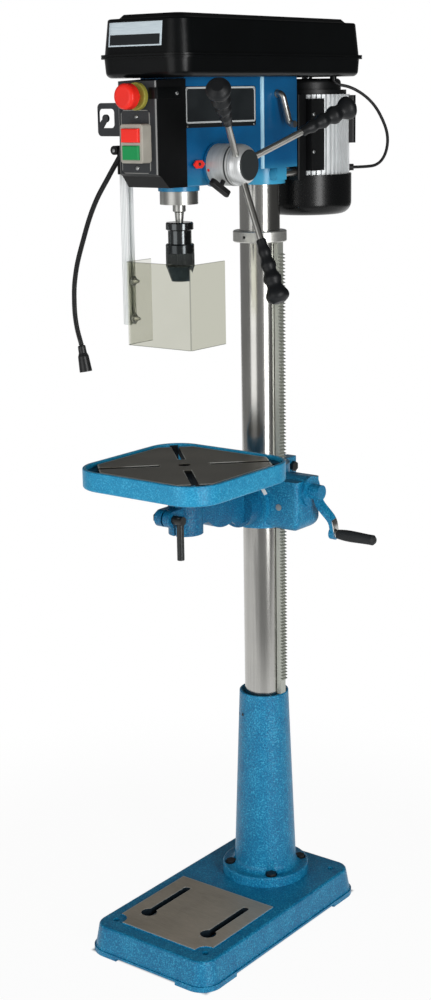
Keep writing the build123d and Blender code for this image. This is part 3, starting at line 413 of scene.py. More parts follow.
# The keyhole slots are painted nearly black, as painted shade.
sunk = in_key * height.over(key_low, 0.002) * height.under(pad_top, 0.0004)
worn = pad_edge.over(-0.0018, 0.0014).most((from_key - slot_half).size().under(0.0009, 0.0008) * in_key)
machined(base_finish, bare, worn * bare * 0.7, sunk * 0.95,
         (colour(146, 138, 124), colour(194, 182, 165)), plain_paint)
print("castings with bare faces:", table_finish.material.name, base_finish.material.name)

# %% [markdown]
# Ground and drawn steel is told apart by the direction of its fine lines: round the bar on turned
# parts, along it on the column. The lines are one noise, squeezed hard in one direction, which
# moves the gloss a little. The mirror of the studio does the rest.

# %% Steels and alloys
def steel(name, tone, dull, squeeze, metal=1.0, swing=0.12, depth=0.0):
    """Bare metal with fine lines."""
    finish = Finish(name)
    lines = finish.lines(*squeeze)
    blotch = finish.noise(11.0, 2.0)
    worn = [part * 0.78 for part in tone]
    finish.set(Base_Color=finish.shades(lines * 0.6 + blotch * 0.4, worn, tone), Metallic=metal,
               Roughness=dull + lines * swing)
    if depth:
        finish.set(Normal=finish.bump(lines, depth, 0.4))
    return finish


column_steel = steel("column_steel", colour(184, 183, 179), 0.18, (6, 6, 0.15), swing=0.05)
turned_steel = steel("turned_steel", colour(180, 180, 176), 0.3, (1, 1, 40))
shaft_steel = steel("shaft_steel", colour(184, 183, 178), 0.26, (40, 1, 1))
rack_steel = steel("rack_steel", colour(188, 191, 182), 0.32, (3, 3, 12), metal=0.6, swing=0.2, depth=0.0002)
collar_steel = steel("collar_steel", colour(208, 208, 203), 0.28, (2, 2, 8), metal=0.8, swing=0.16, depth=0.0001)
spring_steel = steel("spring_steel", colour(112, 116, 134), 0.25, (20, 2, 2))
sheet_steel = steel("sheet_steel", colour(196, 198, 198), 0.3, (2, 12, 2))
black_steel = steel("blackened_steel", colour(64, 66, 66), 0.3, (6, 6, 6), metal=0.85, swing=0.16)
chuck_steel = steel("chuck_steel", colour(84, 87, 88), 0.13, (6, 6, 6), swing=0.06)
pulley_alloy = steel("pulley_alloy", colour(186, 188, 190), 0.28, (1, 1, 18), swing=0.14)

motor_alloy = steel("motor_alloy", colour(230, 233, 234), 0.4, (3, 3, 1), metal=0.4, swing=0.16, depth=0.00015)
gland = motor_alloy.near((0.0648, 0.3313, 1.413), 0.0145, 0.001)
alloy = Wire(motor_alloy, motor_alloy.shader.inputs["Base Color"].links[0].from_socket)
motor_alloy.set(Base_Color=motor_alloy.blend(gland, alloy, colour(18, 18, 19)), Metallic=0.4 - gland * 0.4)

lip_rate = 1800.0
rail_alloy = Finish("rail_alloy")
drawn = rail_alloy.lines(8, 8, 0.3)
lips = (rail_alloy.split()[0] * lip_rate).wave().over(0.72, 0.5)
pale = rail_alloy.shades(drawn, colour(232, 236, 236), colour(248, 250, 250))
rail_alloy.set(Base_Color=rail_alloy.blend(lips * 0.45, pale, colour(110, 116, 116)), Metallic=0.1,
               Roughness=0.36 + drawn * 0.12)
print("metals: 12")

# %% [markdown]
# The rest of the machine is black paint, plastic and rubber. A black that is all one value looks
# like a hole, so each has a fine grain, a faint change of tone, and its own gloss. Its mirror is
# kept weak, or the pale studio would wash it grey.

# %% Paints, plastics and rubbers
def moulded(name, tone, dull, grain_size=900.0, grain_depth=0.00012, swing=0.12, drift=0.18,
            mirror=weak_mirror):
    """Plastic, paint or rubber with a fine grain."""
    finish = Finish(name, mirror)
    grain = finish.noise(grain_size, 2.0)
    cloud = finish.noise(16.0, 3.0)
    low = [part * (1 - drift) for part in tone]
    high = [part * (1 + drift) for part in tone]
    return finish.set(Base_Color=finish.shades(cloud, low, high), Roughness=dull + grain * swing,
                      Normal=finish.bump(grain, grain_depth, 0.5))


cover_black = moulded("cover_black_paint", colour(6, 8, 9), 0.26, 500.0, 0.0002, mirror=0.22)
fan_black = moulded("fan_cover_black", colour(11, 12, 13), 0.22, 500.0, 0.0001)
motor_black = moulded("motor_black_paint", colour(16, 17, 18), 0.34, 600.0, 0.00015)
frame_plastic = moulded("switch_frame_plastic", colour(160, 156, 146), 0.36)
grip_plastic = moulded("grip_plastic", colour(20, 22, 24), 0.4, 600.0, 0.0001)
knob_plastic = moulded("knob_plastic", colour(17, 17, 18), 0.36)
red_plastic = moulded("red_plastic", colour(236, 42, 30), 0.28, drift=0.08)
green_plastic = moulded("green_plastic", colour(14, 140, 76), 0.3, drift=0.08)
olive_plastic = moulded("olive_plastic", colour(152, 146, 62), 0.36, drift=0.1)
hook_paint = moulded("hook_plate_paint", colour(54, 56, 59), 0.4, 500.0, 0.0002)
neck_black = moulded("neck_black", colour(24, 25, 26), 0.3, 500.0, 0.0001, mirror=0.4)
belt_rubber = moulded("belt_rubber", colour(30, 30, 30), 0.62, 400.0, 0.0003)
cable_rubber = moulded("cable_rubber", colour(22, 22, 23), 0.42)
crank_rubber = moulded("crank_grip_rubber", colour(36, 38, 39), 0.6, 350.0, 0.0006)
plate_dark = moulded("plate_dark_enamel", colour(26, 30, 32), 0.3)
# The pale of the tilt scale, which is partly a painted highlight: the bright column seen under the table.
scale_and_highlight_pale = moulded("scale_and_highlight_pale", colour(226, 226, 222), 0.4, drift=0.03)
lens_pale = moulded("lens_pale", colour(206, 208, 204), 0.16, drift=0.05, mirror=0.5)
print("paints, plastics and rubbers: 17")

# %% [markdown]
# The chuck guard is a bent sheet of clear plastic with a grey-brown tint. A half-hidden surface
# would veil the black chuck behind it, so the sheet is a true clear body: light goes in through one
# face and out of the other, and each face takes a little of its colour. The side face is tinted a
# little darker, as painted shade, and the bend and the cut edges are painted darker than the faces,
# as painted shade.

# %% Clear guard sheet
bend_x, bend_y, side_x, flange_x = 0.0655, -0.1595, 0.0635, -0.066
sheet_middle, sheet_half = 1.204, 0.0703
clear_sheet = Finish("clear_guard_sheet")
across, along, height = clear_sheet.split()
# The bend and the cut edges are painted darker, as painted shade.
bend = (across - bend_x).size().most((along - bend_y).size()).under(0.0012, 0.0008)
cut_edge = (height - sheet_middle).size().over(sheet_half, 0.0006)
haze = clear_sheet.noise(8.0, 3.0)
faces = clear_sheet.shades(haze, colour(198, 198, 186), colour(204, 204, 193))
# The side face is tinted a little darker, as painted shade.
faces = clear_sheet.blend(across.over(side_x, 0.0008), faces, colour(194, 194, 181))
faces = clear_sheet.blend(across.under(flange_x, 0.002), faces, colour(228, 228, 222))
clear_sheet.set(Base_Color=clear_sheet.blend(bend.most(cut_edge), faces, colour(136, 138, 130)),
                Roughness=0.02 + haze * 0.03, Transmission_Weight=1.0, IOR=1.06)
print("guard sheet ready")

# %% [markdown]
# Some pieces of the solid model change finish along their length: the hub has a black cap let into
# its end, the depth ring a dark groove and a red mark, the crank ends in a bare collar, and the chuck
# has a band of knurling. The switch box's front is painted grey, lighter than its black sides, as
# painted light, with a pale painted highlight along the front's two side edges. A mask on the place
# gives each its second finish, with a clean line where the parts meet.

# %% Two-tone pieces
cap_x = 0.1171
hub_finish = Finish("feed_hub_finish", weak_mirror)
cap = hub_finish.split()[0].over(cap_x, 0.0002)
lines = hub_finish.lines(14, 1, 1)
satin = hub_finish.shades(lines, colour(200, 202, 202), colour(226, 228, 228))
hub_finish.set(Base_Color=hub_finish.blend(cap, satin, colour(44, 48, 49)), Metallic=0.65 - cap * 0.65,
               Roughness=0.3 + lines * 0.14 + cap * 0.06)

groove_x, zero_mark = 0.0905, (0.0585, -0.0955, 1.4262)
ring_finish = Finish("depth_ring_finish", weak_mirror)
lines = ring_finish.lines(14, 1, 1)
groove = (ring_finish.split()[0] - groove_x).size().under(0.0018, 0.0005)
mark = ring_finish.near(zero_mark, 0.0027, 0.0006)
satin = ring_finish.shades(lines, colour(180, 182, 180), colour(206, 208, 206))
satin = ring_finish.blend(groove, satin, colour(70, 72, 72))
ring_finish.set(Base_Color=ring_finish.blend(mark, satin, colour(214, 40, 30)), Metallic=0.5 - mark * 0.5,
                Roughness=0.44 + lines * 0.14)

collar_x = 0.1521
crank_finish = Finish("crank_finish", paint_mirror)
tone, gloss, bowls = hammered(crank_finish)
collar = crank_finish.split()[0].over(collar_x, 0.0003)
crank_finish.set(Base_Color=crank_finish.blend(collar, tone, colour(206, 206, 202)), Metallic=collar,
                 Roughness=gloss * (1 - collar) + collar * 0.25,
                 Normal=crank_finish.bump(bowls * (1 - collar), bowl_depth, 0.45))

knurl_low, knurl_high, cone_top = 1.2665, 1.2885, 1.2662
ridges, climb_rate = 60.0, 2600.0
chuck_finish = Finish("chuck_sleeve_finish")
across, along, height = chuck_finish.split()
turn = across.math("ARCTAN2", along - spindle_y, across) * ridges
climb = height * climb_rate
band = height.over(knurl_low, 0.0008) * height.under(knurl_high, 0.0008)
knurl = (turn + climb).wave().most((turn - climb).wave()) * band
blackened = chuck_finish.ramp(knurl * 0.5 + 0.4, (0.2, colour(44, 47, 48)), (0.9, colour(84, 88, 89)))
chuck_finish.set(Base_Color=chuck_finish.blend(height.under(cone_top, 0.001), blackened, colour(66, 78, 90)),
                 Metallic=0.9, Roughness=0.2 + band * 0.22, Normal=chuck_finish.bump(knurl, 0.0005, 0.8))

box_front, box_half = -0.2043, 0.0378
box_finish = Finish("switch_box_plastic", 0.16)
across, along, height = box_finish.split()
# Painted light: the front face is painted lighter grey than the black sides.
front = along.under(box_front, 0.0004)
grain = box_finish.noise(700.0, 2.0)
cloud = box_finish.noise(16.0, 3.0)
# Painted highlight: a pale line along the front's two side edges.
corner = front * across.size().over(box_half, 0.0006)
body_black = box_finish.shades(cloud, colour(9, 10, 11), colour(14, 15, 16))
lit_front_grey = box_finish.shades(cloud, colour(44, 46, 48), colour(53, 55, 58))
tone = box_finish.blend(front, body_black, lit_front_grey)
box_finish.set(Base_Color=box_finish.blend(corner * 0.55, tone, colour(168, 168, 166)),
               Roughness=0.36 + grain * 0.12, Normal=box_finish.bump(grain, 0.00018, 0.5))
print("two-tone finishes: 5")

# %% [markdown]
# Each solid piece now takes its finish. The list reads from the floor up, so that a missing piece
# is easy to see, and the cell stops if one has been left out.

# %% Finishes on the solid pieces
def dress(piece, finish):
    """Gives a piece one finish."""
    piece.data.materials.clear()
    piece.data.materials.append(finish.material)


dressing = {
    base_finish: ["base"],
    blue_hammer: ["pillar", "table_bracket"],
    shaded_arm: ["table_arm"],
    crank_finish: ["crank_arm"],
    table_finish: ["table"],
    blue_head: ["head_casting"],
    column_steel: ["column"],
    turned_steel: ["quill", "spindle", "quill_bearings", "pulley_bearings",
                   "chuck_jaw_1", "chuck_jaw_2", "chuck_jaw_3"],
    shaft_steel: ["worm_shaft", "worm_wheel", "slide_bars", "tension_lever", "feed_rods"],
    rack_steel: ["rack"],
    collar_steel: ["rack_collar"],
    spring_steel: ["return_spring"],
    sheet_steel: ["spring_housing"],
    black_steel: ["pillar_bolts", "tilt_bolt", "column_clamp", "table_clamp", "idler_arm"],
    chuck_steel: ["chuck_body"],
    chuck_finish: ["chuck_sleeve"],
    hub_finish: ["feed_hub"],
    ring_finish: ["depth_ring"],
    rail_alloy: ["guard_rail"],
    pulley_alloy: ["spindle_pulley", "idler_pulley", "motor_pulley"],
    motor_alloy: ["motor_body"],
    cover_black: ["cover_lid", "cover_pan"],
    fan_black: ["fan_cover"],
    motor_black: ["motor_end_bell", "motor_boxes", "motor_plate"],
    box_finish: ["switch_box"],
    frame_plastic: ["switch_frame"],
    red_plastic: ["stop_button", "estop_button"],
    green_plastic: ["start_button"],
    olive_plastic: ["estop_collar"],
    hook_paint: ["hook_plate"],
    knob_plastic: ["guard_bracket", "depth_lock"],
    grip_plastic: ["feed_grips"],
    crank_rubber: ["crank_grip"],
    clear_sheet: ["guard_shield"],
    belt_rubber: ["drive_belts"],
    cable_rubber: ["motor_cable"],
    neck_black: ["lamp_head", "gooseneck"],
}
for finish, names in dressing.items():
    for name in names:
        dress(nodes[name], finish)
dress(cable, cable_rubber)
dressed = {name for names in dressing.values() for name in names}
assert dressed == set(nodes), set(nodes) ^ dressed
print("dressed", len(dressed), "pieces")

# %% [markdown]
# The small fittings are modelled as a maker would: a primitive is laid flat at the origin, cut and
# raised with the edit tools, and then moved to its seat. These helpers start a piece, select parts
# of it by their place, and seat it on a point with a given outward direction.

# %% Bench helpers
smooth_angle = radians(35)
merge_gap = 0.00001


def open_mesh():
    """Opens the active piece for editing, with all of it selected."""
    bpy.ops.object.mode_set(mode="EDIT")
    bpy.ops.mesh.select_all(action="SELECT")


def close_mesh(outward=False):
    """Ends the editing and, if asked, first turns all faces outward."""
    if outward:
        bpy.ops.mesh.select_all(action="SELECT")
        bpy.ops.mesh.normals_make_consistent(inside=False)
    bpy.ops.object.mode_set(mode="OBJECT")


def begin(name, add, **size):
    """A new primitive, alone in the selection and open for editing."""
    bpy.ops.object.select_all(action="DESELECT")
    add(**size)
    piece = bpy.context.object
    piece.name = piece.data.name = name
    bpy.ops.object.transform_apply()
    open_mesh()
    return piece


def square(name):
    """A flat square of size 1, open for editing."""
    return begin(name, bpy.ops.mesh.primitive_plane_add, size=1.0)


def disc(name, sides, radius, thick):
    """A short cylinder on the floor plane, open for editing."""
    return begin(name, bpy.ops.mesh.primitive_cylinder_add, vertices=sides, radius=radius, depth=thick,
                 location=(0, 0, thick / 2))


def pick(piece, kind, test):
    """Selects the faces or edges in edit mode whose middle and direction pass the test."""
    mesh = bmesh.from_edit_mesh(piece.data)
    bpy.ops.mesh.select_all(action="DESELECT")
    for part in getattr(mesh, kind):
        if kind == "faces":
            middle, line = part.calc_center_median(), part.normal
        else:
            middle, line = (part.verts[0].co + part.verts[1].co) / 2, part.verts[1].co - part.verts[0].co
        if test(middle, line):
            part.select_set(True)
    mesh.select_flush_mode()
    bmesh.update_edit_mesh(piece.data)


def pick_top(piece):
    pick(piece, "faces", lambda middle, normal: normal.z > 0.99)


def round_top(piece, top, width, segments):
    """Bevels the edges round the top of a piece."""
    pick(piece, "edges", lambda middle, run: middle.z > top * 0.99)
    bpy.ops.mesh.bevel(offset=width, segments=segments)


def extrude(*step):
    bpy.ops.mesh.extrude_region_move(TRANSFORM_OT_translate={"value": step})


def inset(thickness, depth=0.0):
    bpy.ops.mesh.inset(thickness=thickness, depth=depth)


def resize(*growth, middle=(0, 0, 0)):
    bpy.ops.transform.resize(value=growth, center_override=middle)


def apply_all(piece):
    """Applies a piece's modifiers in their order."""
    alone(piece)
    for name in piece.modifiers.keys():
        bpy.ops.object.modifier_apply(modifier=name)


def thicken(piece, thickness, offset=1.0, soft=0.0):
    """Gives a sheet its thickness and, if asked, a soft edge."""
    body = piece.modifiers.new("thickness", "SOLIDIFY")
    body.thickness, body.offset = thickness, offset
    if soft:
        edge = piece.modifiers.new("softness", "BEVEL")
        edge.width, edge.segments = soft, 2
    apply_all(piece)


def seat(piece, place, out, up=(0, 0, 1)):
    """Moves a piece made on the floor plane to a point, its top facing out and its Y along up."""
    out = Vector(out).normalized()
    side = Vector(up).cross(out).normalized()
    piece.matrix_world = turned(place, side, out.cross(side), out)
    alone(piece)
    bpy.ops.object.transform_apply()
    return piece


def hand_over(piece, body, finish):
    """Smooths a finished piece, gives it its finish and lets it ride on a body."""
    alone(piece)
    bpy.ops.object.shade_smooth_by_angle(angle=smooth_angle)
    dress(piece, finish)
    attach(piece, body)


def set_out(master, seats, finish):
    """Puts a modelled piece on its first seat and a copy with its own mesh on each other one."""
    twins = [master]
    for number in range(1, len(seats)):
        twin = add_object(f"{master.name}_{number + 1}", master.data.copy())
        twin.data.name = twin.name
        twins.append(twin)
    for twin, (body, place, out) in zip(twins, seats):
        hand_over(seat(twin, place, out), body, finish)
    return len(twins)


def tray(name, width, length, corner, rim, thick, step):
    """A rounded plate with a raised rim, lying on the floor plane."""
    piece = square(name)
    resize(width, length, 1)
    bpy.ops.mesh.bevel(offset=corner, segments=5, affect="VERTICES")
    extrude(0, 0, thick)
    pick(piece, "faces", lambda middle, normal: middle.z > thick * 0.99)
    inset(rim)
    inset(step * 0.6, -step)
    close_mesh(outward=True)
    return piece


print("bench ready")

# %% [markdown]
# One belt runs from the spindle to the idler and one from the idler to the motor, and the idler and
# the motor move a little to tighten them. Copies stand in for the plain belts, and the belt at the
# motor is cut through the middle of its two straight runs. A piece bends between two bodies only,
# so the belt at the motor is cut through the middle of its two straight runs.

# %% Belts
belt_low, belt_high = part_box("drive_belts")
belt_level = (belt_low.z + belt_high.z) / 2
belt_cut = (idler_y + motor_y) / 2


def belt_copy(name, upper, cut=None):
    """A merged copy of one belt, cut square across if asked."""
    piece = add_object(name, nodes["drive_belts"].data.copy())
    piece.data.name = name
    alone(piece)
    open_mesh()
    bpy.ops.mesh.remove_doubles(threshold=merge_gap)
    pick(piece, "faces", lambda middle, line: (middle.z > belt_level) != upper)
    bpy.ops.mesh.delete(type="FACE")
    if cut:
        bpy.ops.mesh.select_all(action="SELECT")
        bpy.ops.mesh.bisect(plane_co=(0, belt_cut, 0), plane_no=(0, 1, 0), use_fill=True,
                            clear_inner=cut == "near", clear_outer=cut == "far")
    close_mesh()
    bpy.ops.object.shade_smooth_by_angle(angle=smooth_angle)
    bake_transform(piece)
    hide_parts("drive_belts")


belt_copy("front_belt", True)
belt_copy("rear_belt", False, cut="far")
belt_copy("rear_belt_2", False, cut="near")
print("belts: 2, one of them in two lengths")

# %% [markdown]
# Three plates are fixed to the machine. The lid's is pale metal with one plain dark band, and it
# bends round the corner of the lid, so a thin grid is drawn onto the lid by Shrinkwrap and then
# thickened. The head's is dark enamel with a narrow pale frame, on a slightly larger backing. The
# switch panel is a grey tray.

# %% Plates
lid_lean = atan2(6.0, 59.2)
lid_out = Vector((0, -cos(lid_lean), sin(lid_lean)))
lid_middle = Vector((-0.0095, -0.19453, 1.644))
band_low, band_high, band_half = 1.6273, 1.6436, 0.0524
lid_plate = begin("lid_plate", bpy.ops.mesh.primitive_grid_add, x_subdivisions=40, y_subdivisions=8, size=1.0)
resize(0.112, 0.038, 1)
close_mesh()
seat(lid_plate, lid_middle + lid_out * 0.001, lid_out)
cling = lid_plate.modifiers.new("cling", "SHRINKWRAP")
cling.target = nodes["cover_lid"]
cling.wrap_method = "NEAREST_SURFACEPOINT"
cling.wrap_mode = "ABOVE_SURFACE"
cling.offset = 0.0001
thicken(lid_plate, 0.0007, soft=0.0002)
lid_silver = Finish("lid_plate_silver", weak_mirror)
across, along, height = lid_silver.split()
dark_band = height.over(band_low, 0.0004) * height.under(band_high, 0.0004)
dark_band = dark_band * (across - lid_middle.x).size().under(band_half, 0.0004)
brushed = lid_silver.noise(40.0, 4.0, lid_silver.stretched(1, 1, 30), 0.6)
silver = lid_silver.shades(brushed, colour(186, 200, 208), colour(208, 220, 226))
lid_silver.set(Base_Color=lid_silver.blend(dark_band, silver, colour(30, 34, 37)),
               Metallic=0.1, Roughness=0.34 + brushed * 0.12)
hand_over(lid_plate, "lid", lid_silver)

side_out = Vector((197, -10.8, 0)).normalized()
side_middle = Vector((0.05101, -0.0487, 1.5283))
sheet_thick = 0.0006
side_back = tray("side_plate_back", 0.182, 0.066, 0.003, 0.002, sheet_thick, 0.0002)
hand_over(seat(side_back, side_middle, side_out), "stand", plate_dark)
face_middle = side_middle + side_out * sheet_thick + Vector((0, 0, 0.003))
side_plate = tray("side_plate", 0.1785, 0.058, 0.004, 0.0025, sheet_thick, 0.0003)
seat(side_plate, face_middle, side_out)
side_enamel = Finish("side_plate_enamel", weak_mirror)
across, along, height = side_enamel.split()
frame_line = outside((along, height), face_middle.yz, (0.0864, 0.0262), 0.0004)
haze = side_enamel.noise(25.0, 3.0)
enamel = side_enamel.shades(haze, colour(28, 32, 34), colour(38, 42, 44))
side_enamel.set(Base_Color=side_enamel.blend(frame_line, enamel, colour(190, 194, 194)),
                Roughness=0.26 + haze * 0.12)
hand_over(side_plate, "stand", side_enamel)

panel_middle = Vector((-0.0037, -0.2049, 1.4753))
switch_panel = tray("switch_panel", 0.0597, 0.1005, 0.007, 0.0011, 0.0017, 0.0005)
seat(switch_panel, panel_middle, front_out)
panel_finish = Finish("switch_panel_grey", weak_mirror)
across, along, height = panel_finish.split()
grain = panel_finish.noise(700.0, 2.0)
lip = outside((across, height), panel_middle.xz, (0.02885, 0.04925), 0.0003)
grey = panel_finish.shades(grain, colour(46, 48, 50), colour(55, 57, 60))
panel_finish.set(Base_Color=panel_finish.blend(lip * 0.8, grey, colour(150, 150, 146)),
                 Roughness=0.36 + grain * 0.12, Normal=panel_finish.bump(grain, 0.00018, 0.5))
hand_over(switch_panel, "stand", panel_finish)
print("plates:", lid_plate.name, side_back.name, side_plate.name, switch_panel.name)

# %% [markdown]
# A black strap runs from the stop button round the corner of the switch box to a screw in its side.
# It is partly a painted shadow: the dark band that it fills beside the button is largely the
# button's shadow. It starts as one upright edge, which is drawn out along the face, the corner and
# the side, and is then thickened.

# %% Strap on the switch box
# Partly a painted shadow: this strap fills the dark band beside the stop button, which is largely its shadow.
strap_height, strap_width, strap_thick = 1.5515, 0.018, 0.0013
strap_path = [(0.0256, -0.2052), (0.0388, -0.2052), (0.0406, -0.2036), (0.0478, -0.1525)]
shadow_strap = square("button_strap")
bpy.ops.transform.rotate(value=radians(90), orient_axis="X", center_override=(0, 0, 0))
resize(0, 0, strap_width)
bpy.ops.mesh.remove_doubles(threshold=0.0001)
bpy.ops.transform.translate(value=(*strap_path[0], strap_height))
for start, end in zip(strap_path, strap_path[1:]):
    extrude(end[0] - start[0], end[1] - start[1], 0)
close_mesh(outward=True)
if shadow_strap.data.polygons[0].normal.y > 0:
    shadow_strap.data.flip_normals()
thicken(shadow_strap, strap_thick, soft=0.0004)
hand_over(shadow_strap, "stand", cover_black)
print("strap faces:", len(shadow_strap.data.polygons))

# %% [markdown]
# Rivets hold the head's plate, a plug closes a bore under the head, and cross-slotted screws hold
# the switch panel, the strap, the box on the motor and the clamp knob of the guard. A short cylinder
# gets its rounded head from a bevel on the top edge. For the screw, cutting planes draw a cross on
# the top face, and the faces inside the cross are pushed down. Each is modelled once and copied.

# %% Rivets and screws
def rivet(name, radius, rise, sides=16):
    piece = disc(name, sides, radius, rise)
    round_top(piece, rise, rise * 0.85, 4)
    close_mesh()
    return piece


def cross_screw(name, radius, rise, slot_width, slot_depth):
    piece = rivet(name, radius, rise)
    reach = radius * 0.62
    open_mesh()
    for line in ((1, 0, 0), (0, 1, 0)):
        for cut in (-slot_width / 2, slot_width / 2, -reach, reach):
            bpy.ops.mesh.select_all(action="SELECT")
            bpy.ops.mesh.bisect(plane_co=[part * cut for part in line], plane_no=line)

    def in_cross(middle, normal):
        narrow = min(abs(middle.x), abs(middle.y)) < slot_width / 2
        return normal.z > 0.5 and narrow and max(abs(middle.x), abs(middle.y)) < reach

    pick(piece, "faces", in_cross)
    extrude(0, 0, -slot_depth)
    close_mesh()
    return piece


along_side = Vector((10.8, 197, 0)).normalized()
rivet_seats = [("stand", side_middle + along_side * reach + Vector((0, 0, rise)) + side_out * lift, side_out)
               for reach in (-0.0858, 0.0858) for rise, lift in ((0.0285, 0.0008), (-0.0303, 0.0004))]
count = set_out(rivet("side_plate_rivet", 0.0018, 0.0011), rivet_seats, sheet_steel)

box_side = Vector((66, -9, 0)).normalized()
screw_seats = [("stand", (-0.0014, -0.2058, 1.5147), front_out),
               ("stand", (-0.0018, -0.2058, 1.4335), front_out),
               ("stand", Vector((0.0461, -0.161, 1.5512)) + box_side * strap_thick, box_side),
               ("stand", (-0.074, -0.1798, 1.4605), front_out),
               ("motor", (0.0659, 0.2045, 1.5112), right_out),
               ("motor", (0.0659, 0.2047, 1.4455), right_out)]
count += set_out(cross_screw("cross_screw", 0.0034, 0.0021, 0.0011, 0.0009), screw_seats, sheet_steel)
bar_plug = rivet("slide_bar_plug", 0.0086, 0.0012, 36)
hand_over(seat(bar_plug, (0.046, 0.106, 1.411), front_out), "stand", blue_head)
print("rivets, screws and a plug:", count + 1)

# %% [markdown]
# The guard sheet hangs on its rail by two studs, each with a broad washer and a bright nut that
# runs to a point. The washer starts as a disc with its middle sunk. The nut starts as a six-sided
# bar: its top is drawn in twice, low and broad first, then to a small flat tip.

# %% Guard studs
def washer(name, radius, thick):
    piece = disc(name, 28, radius, thick)
    round_top(piece, thick, thick * 0.4, 2)
    pick_top(piece)
    inset(radius * 0.3)
    inset(radius * 0.04, -thick * 0.3)
    close_mesh()
    return piece


def pointed_nut(name, radius, collar, rise):
    piece = disc(name, 6, radius, collar)
    pick_top(piece)
    inset(radius * 0.14, radius * 0.1)
    for share, growth in ((0.55, 0.72), (0.45, 0.28)):
        extrude(0, 0, rise * share)
        resize(growth, growth, 1)
    bpy.ops.mesh.select_all(action="SELECT")
    bpy.ops.mesh.bevel(offset=radius * 0.06, segments=2)
    close_mesh()
    return piece


studs = [Vector((-0.07, -0.143, height)) for height in (1.241, 1.177)]
washer_seats = [("guard", place, right_out) for place in studs]
nut_seats = [("guard", place + right_out * 0.0012, right_out) for place in studs]
count = set_out(washer("guard_washer", 0.0085, 0.0016), washer_seats, sheet_steel)
count += set_out(pointed_nut("guard_nut", 0.0056, 0.004, 0.008), nut_seats, collar_steel)
print("guard stud pieces:", count)

# %% [markdown]
# The lamp stands on a ribbed bendable neck. One rib is a short tube with a bulge, drawn from a
# ring by three extrusions. An Array repeats it for the length of a guide curve, and a Curve
# modifier bends the row along it. The lens is a disc with three shallow steps, let into the lamp.

# %% Lamp neck and lens
neck_route = [(-60.5, 1461), (-96.6, 1414.6), (-127.6, 1371.5), (-157.5, 1308), (-178, 1248), (-183, 1204),
              (-180, 1161), (-170, 1126.5)]
neck_y = -0.171
neck_thin, neck_thick = 0.0037, 0.0044
neck_data = bpy.data.curves.new("neck_guide", "CURVE")
neck_data.dimensions = "3D"
neck_data.resolution_u = 24
guide = neck_data.splines.new("BEZIER")
guide.bezier_points.add(len(neck_route) - 1)
for knot, (x, z) in zip(guide.bezier_points, neck_route):
    knot.co = (x / 1000, neck_y, z / 1000)
    knot.handle_left_type = knot.handle_right_type = "AUTO"
neck_end = guide.bezier_points[-1].co.copy()
neck_guide = add_object("neck_guide", neck_data)
lamp_neck = begin("lamp_neck", bpy.ops.mesh.primitive_circle_add, vertices=16, radius=neck_thin)
for rise, growth in ((0.0008, neck_thick / neck_thin), (0.0014, 1.0), (0.0008, neck_thin / neck_thick)):
    extrude(0, 0, rise)
    resize(growth, growth, 1)
close_mesh(outward=True)
row = lamp_neck.modifiers.new("row", "ARRAY")
row.fit_type, row.curve = "FIT_CURVE", neck_guide
row.use_relative_offset, row.use_constant_offset = False, True
row.constant_offset_displace = (0, 0, 0.003)
row.use_merge_vertices, row.merge_threshold = True, 0.0001
curl = lamp_neck.modifiers.new("curl", "CURVE")
curl.object, curl.deform_axis = neck_guide, "POS_Z"
apply_all(lamp_neck)
open_mesh()
bpy.ops.mesh.fill_holes(sides=0)
close_mesh(outward=True)
bpy.data.objects.remove(neck_guide)
hand_over(lamp_neck, "stand", neck_black)
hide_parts("gooseneck")

lamp_axis = Vector((8.4, 0, -45.5)).normalized()
lens = disc("lamp_lens", 28, 0.0088, 0.001)
pick_top(lens)
for width in (0.0012, 0.003, 0.002):
    inset(width, 0.0004)
close_mesh()
seat(lens, neck_end + lamp_axis * 0.0441, lamp_axis, (0, 1, 0))
hand_over(lens, "stand", lens_pale)
print("lamp neck faces:", len(lamp_neck.data.polygons), "and lens faces:", len(lens.data.polygons))

# %% [markdown]
# A red six-sided pointer is screwed to the head beside the depth ring. Two more of its socket screws
# sit in the collar that holds the rack and in the pillar. A pale scale lies round the disc about
# which the table tilts: one short line is spun about that disc's axis. The pale scale is partly a
# painted highlight: it also stands for the bright column seen through the gap under the table.

# %% Pointer, socket screws and tilt scale
pointer_middle, pointer_thick = Vector((0.0519, -0.1130, 1.4365)), 0.0022
pointer = disc("depth_pointer", 6, 0.0075, pointer_thick)
resize(1.0, 2.05, 1)
round_top(pointer, pointer_thick, 0.0006, 3)
close_mesh()
hand_over(seat(pointer, pointer_middle, right_out, (0, 1, 0)), "stand", red_plastic)


def socket_screw(name, radius, rise):
    piece = rivet(name, radius, rise)
    open_mesh()
    pick_top(piece)
    inset(radius * 0.12)
    extrude(0, 0, -rise * 0.6)
    close_mesh()
    return piece


count = set_out(socket_screw("socket_screw", 0.0029, 0.0016),
                [("stand", pointer_middle + right_out * pointer_thick, right_out),
                 ("stand", (0, column_y - 0.0455, 1.3), front_out),
                 ("stand", (-0.0175, 0.0836, 0.3905), (-0.32, -0.95, 0.04))],
                black_steel)

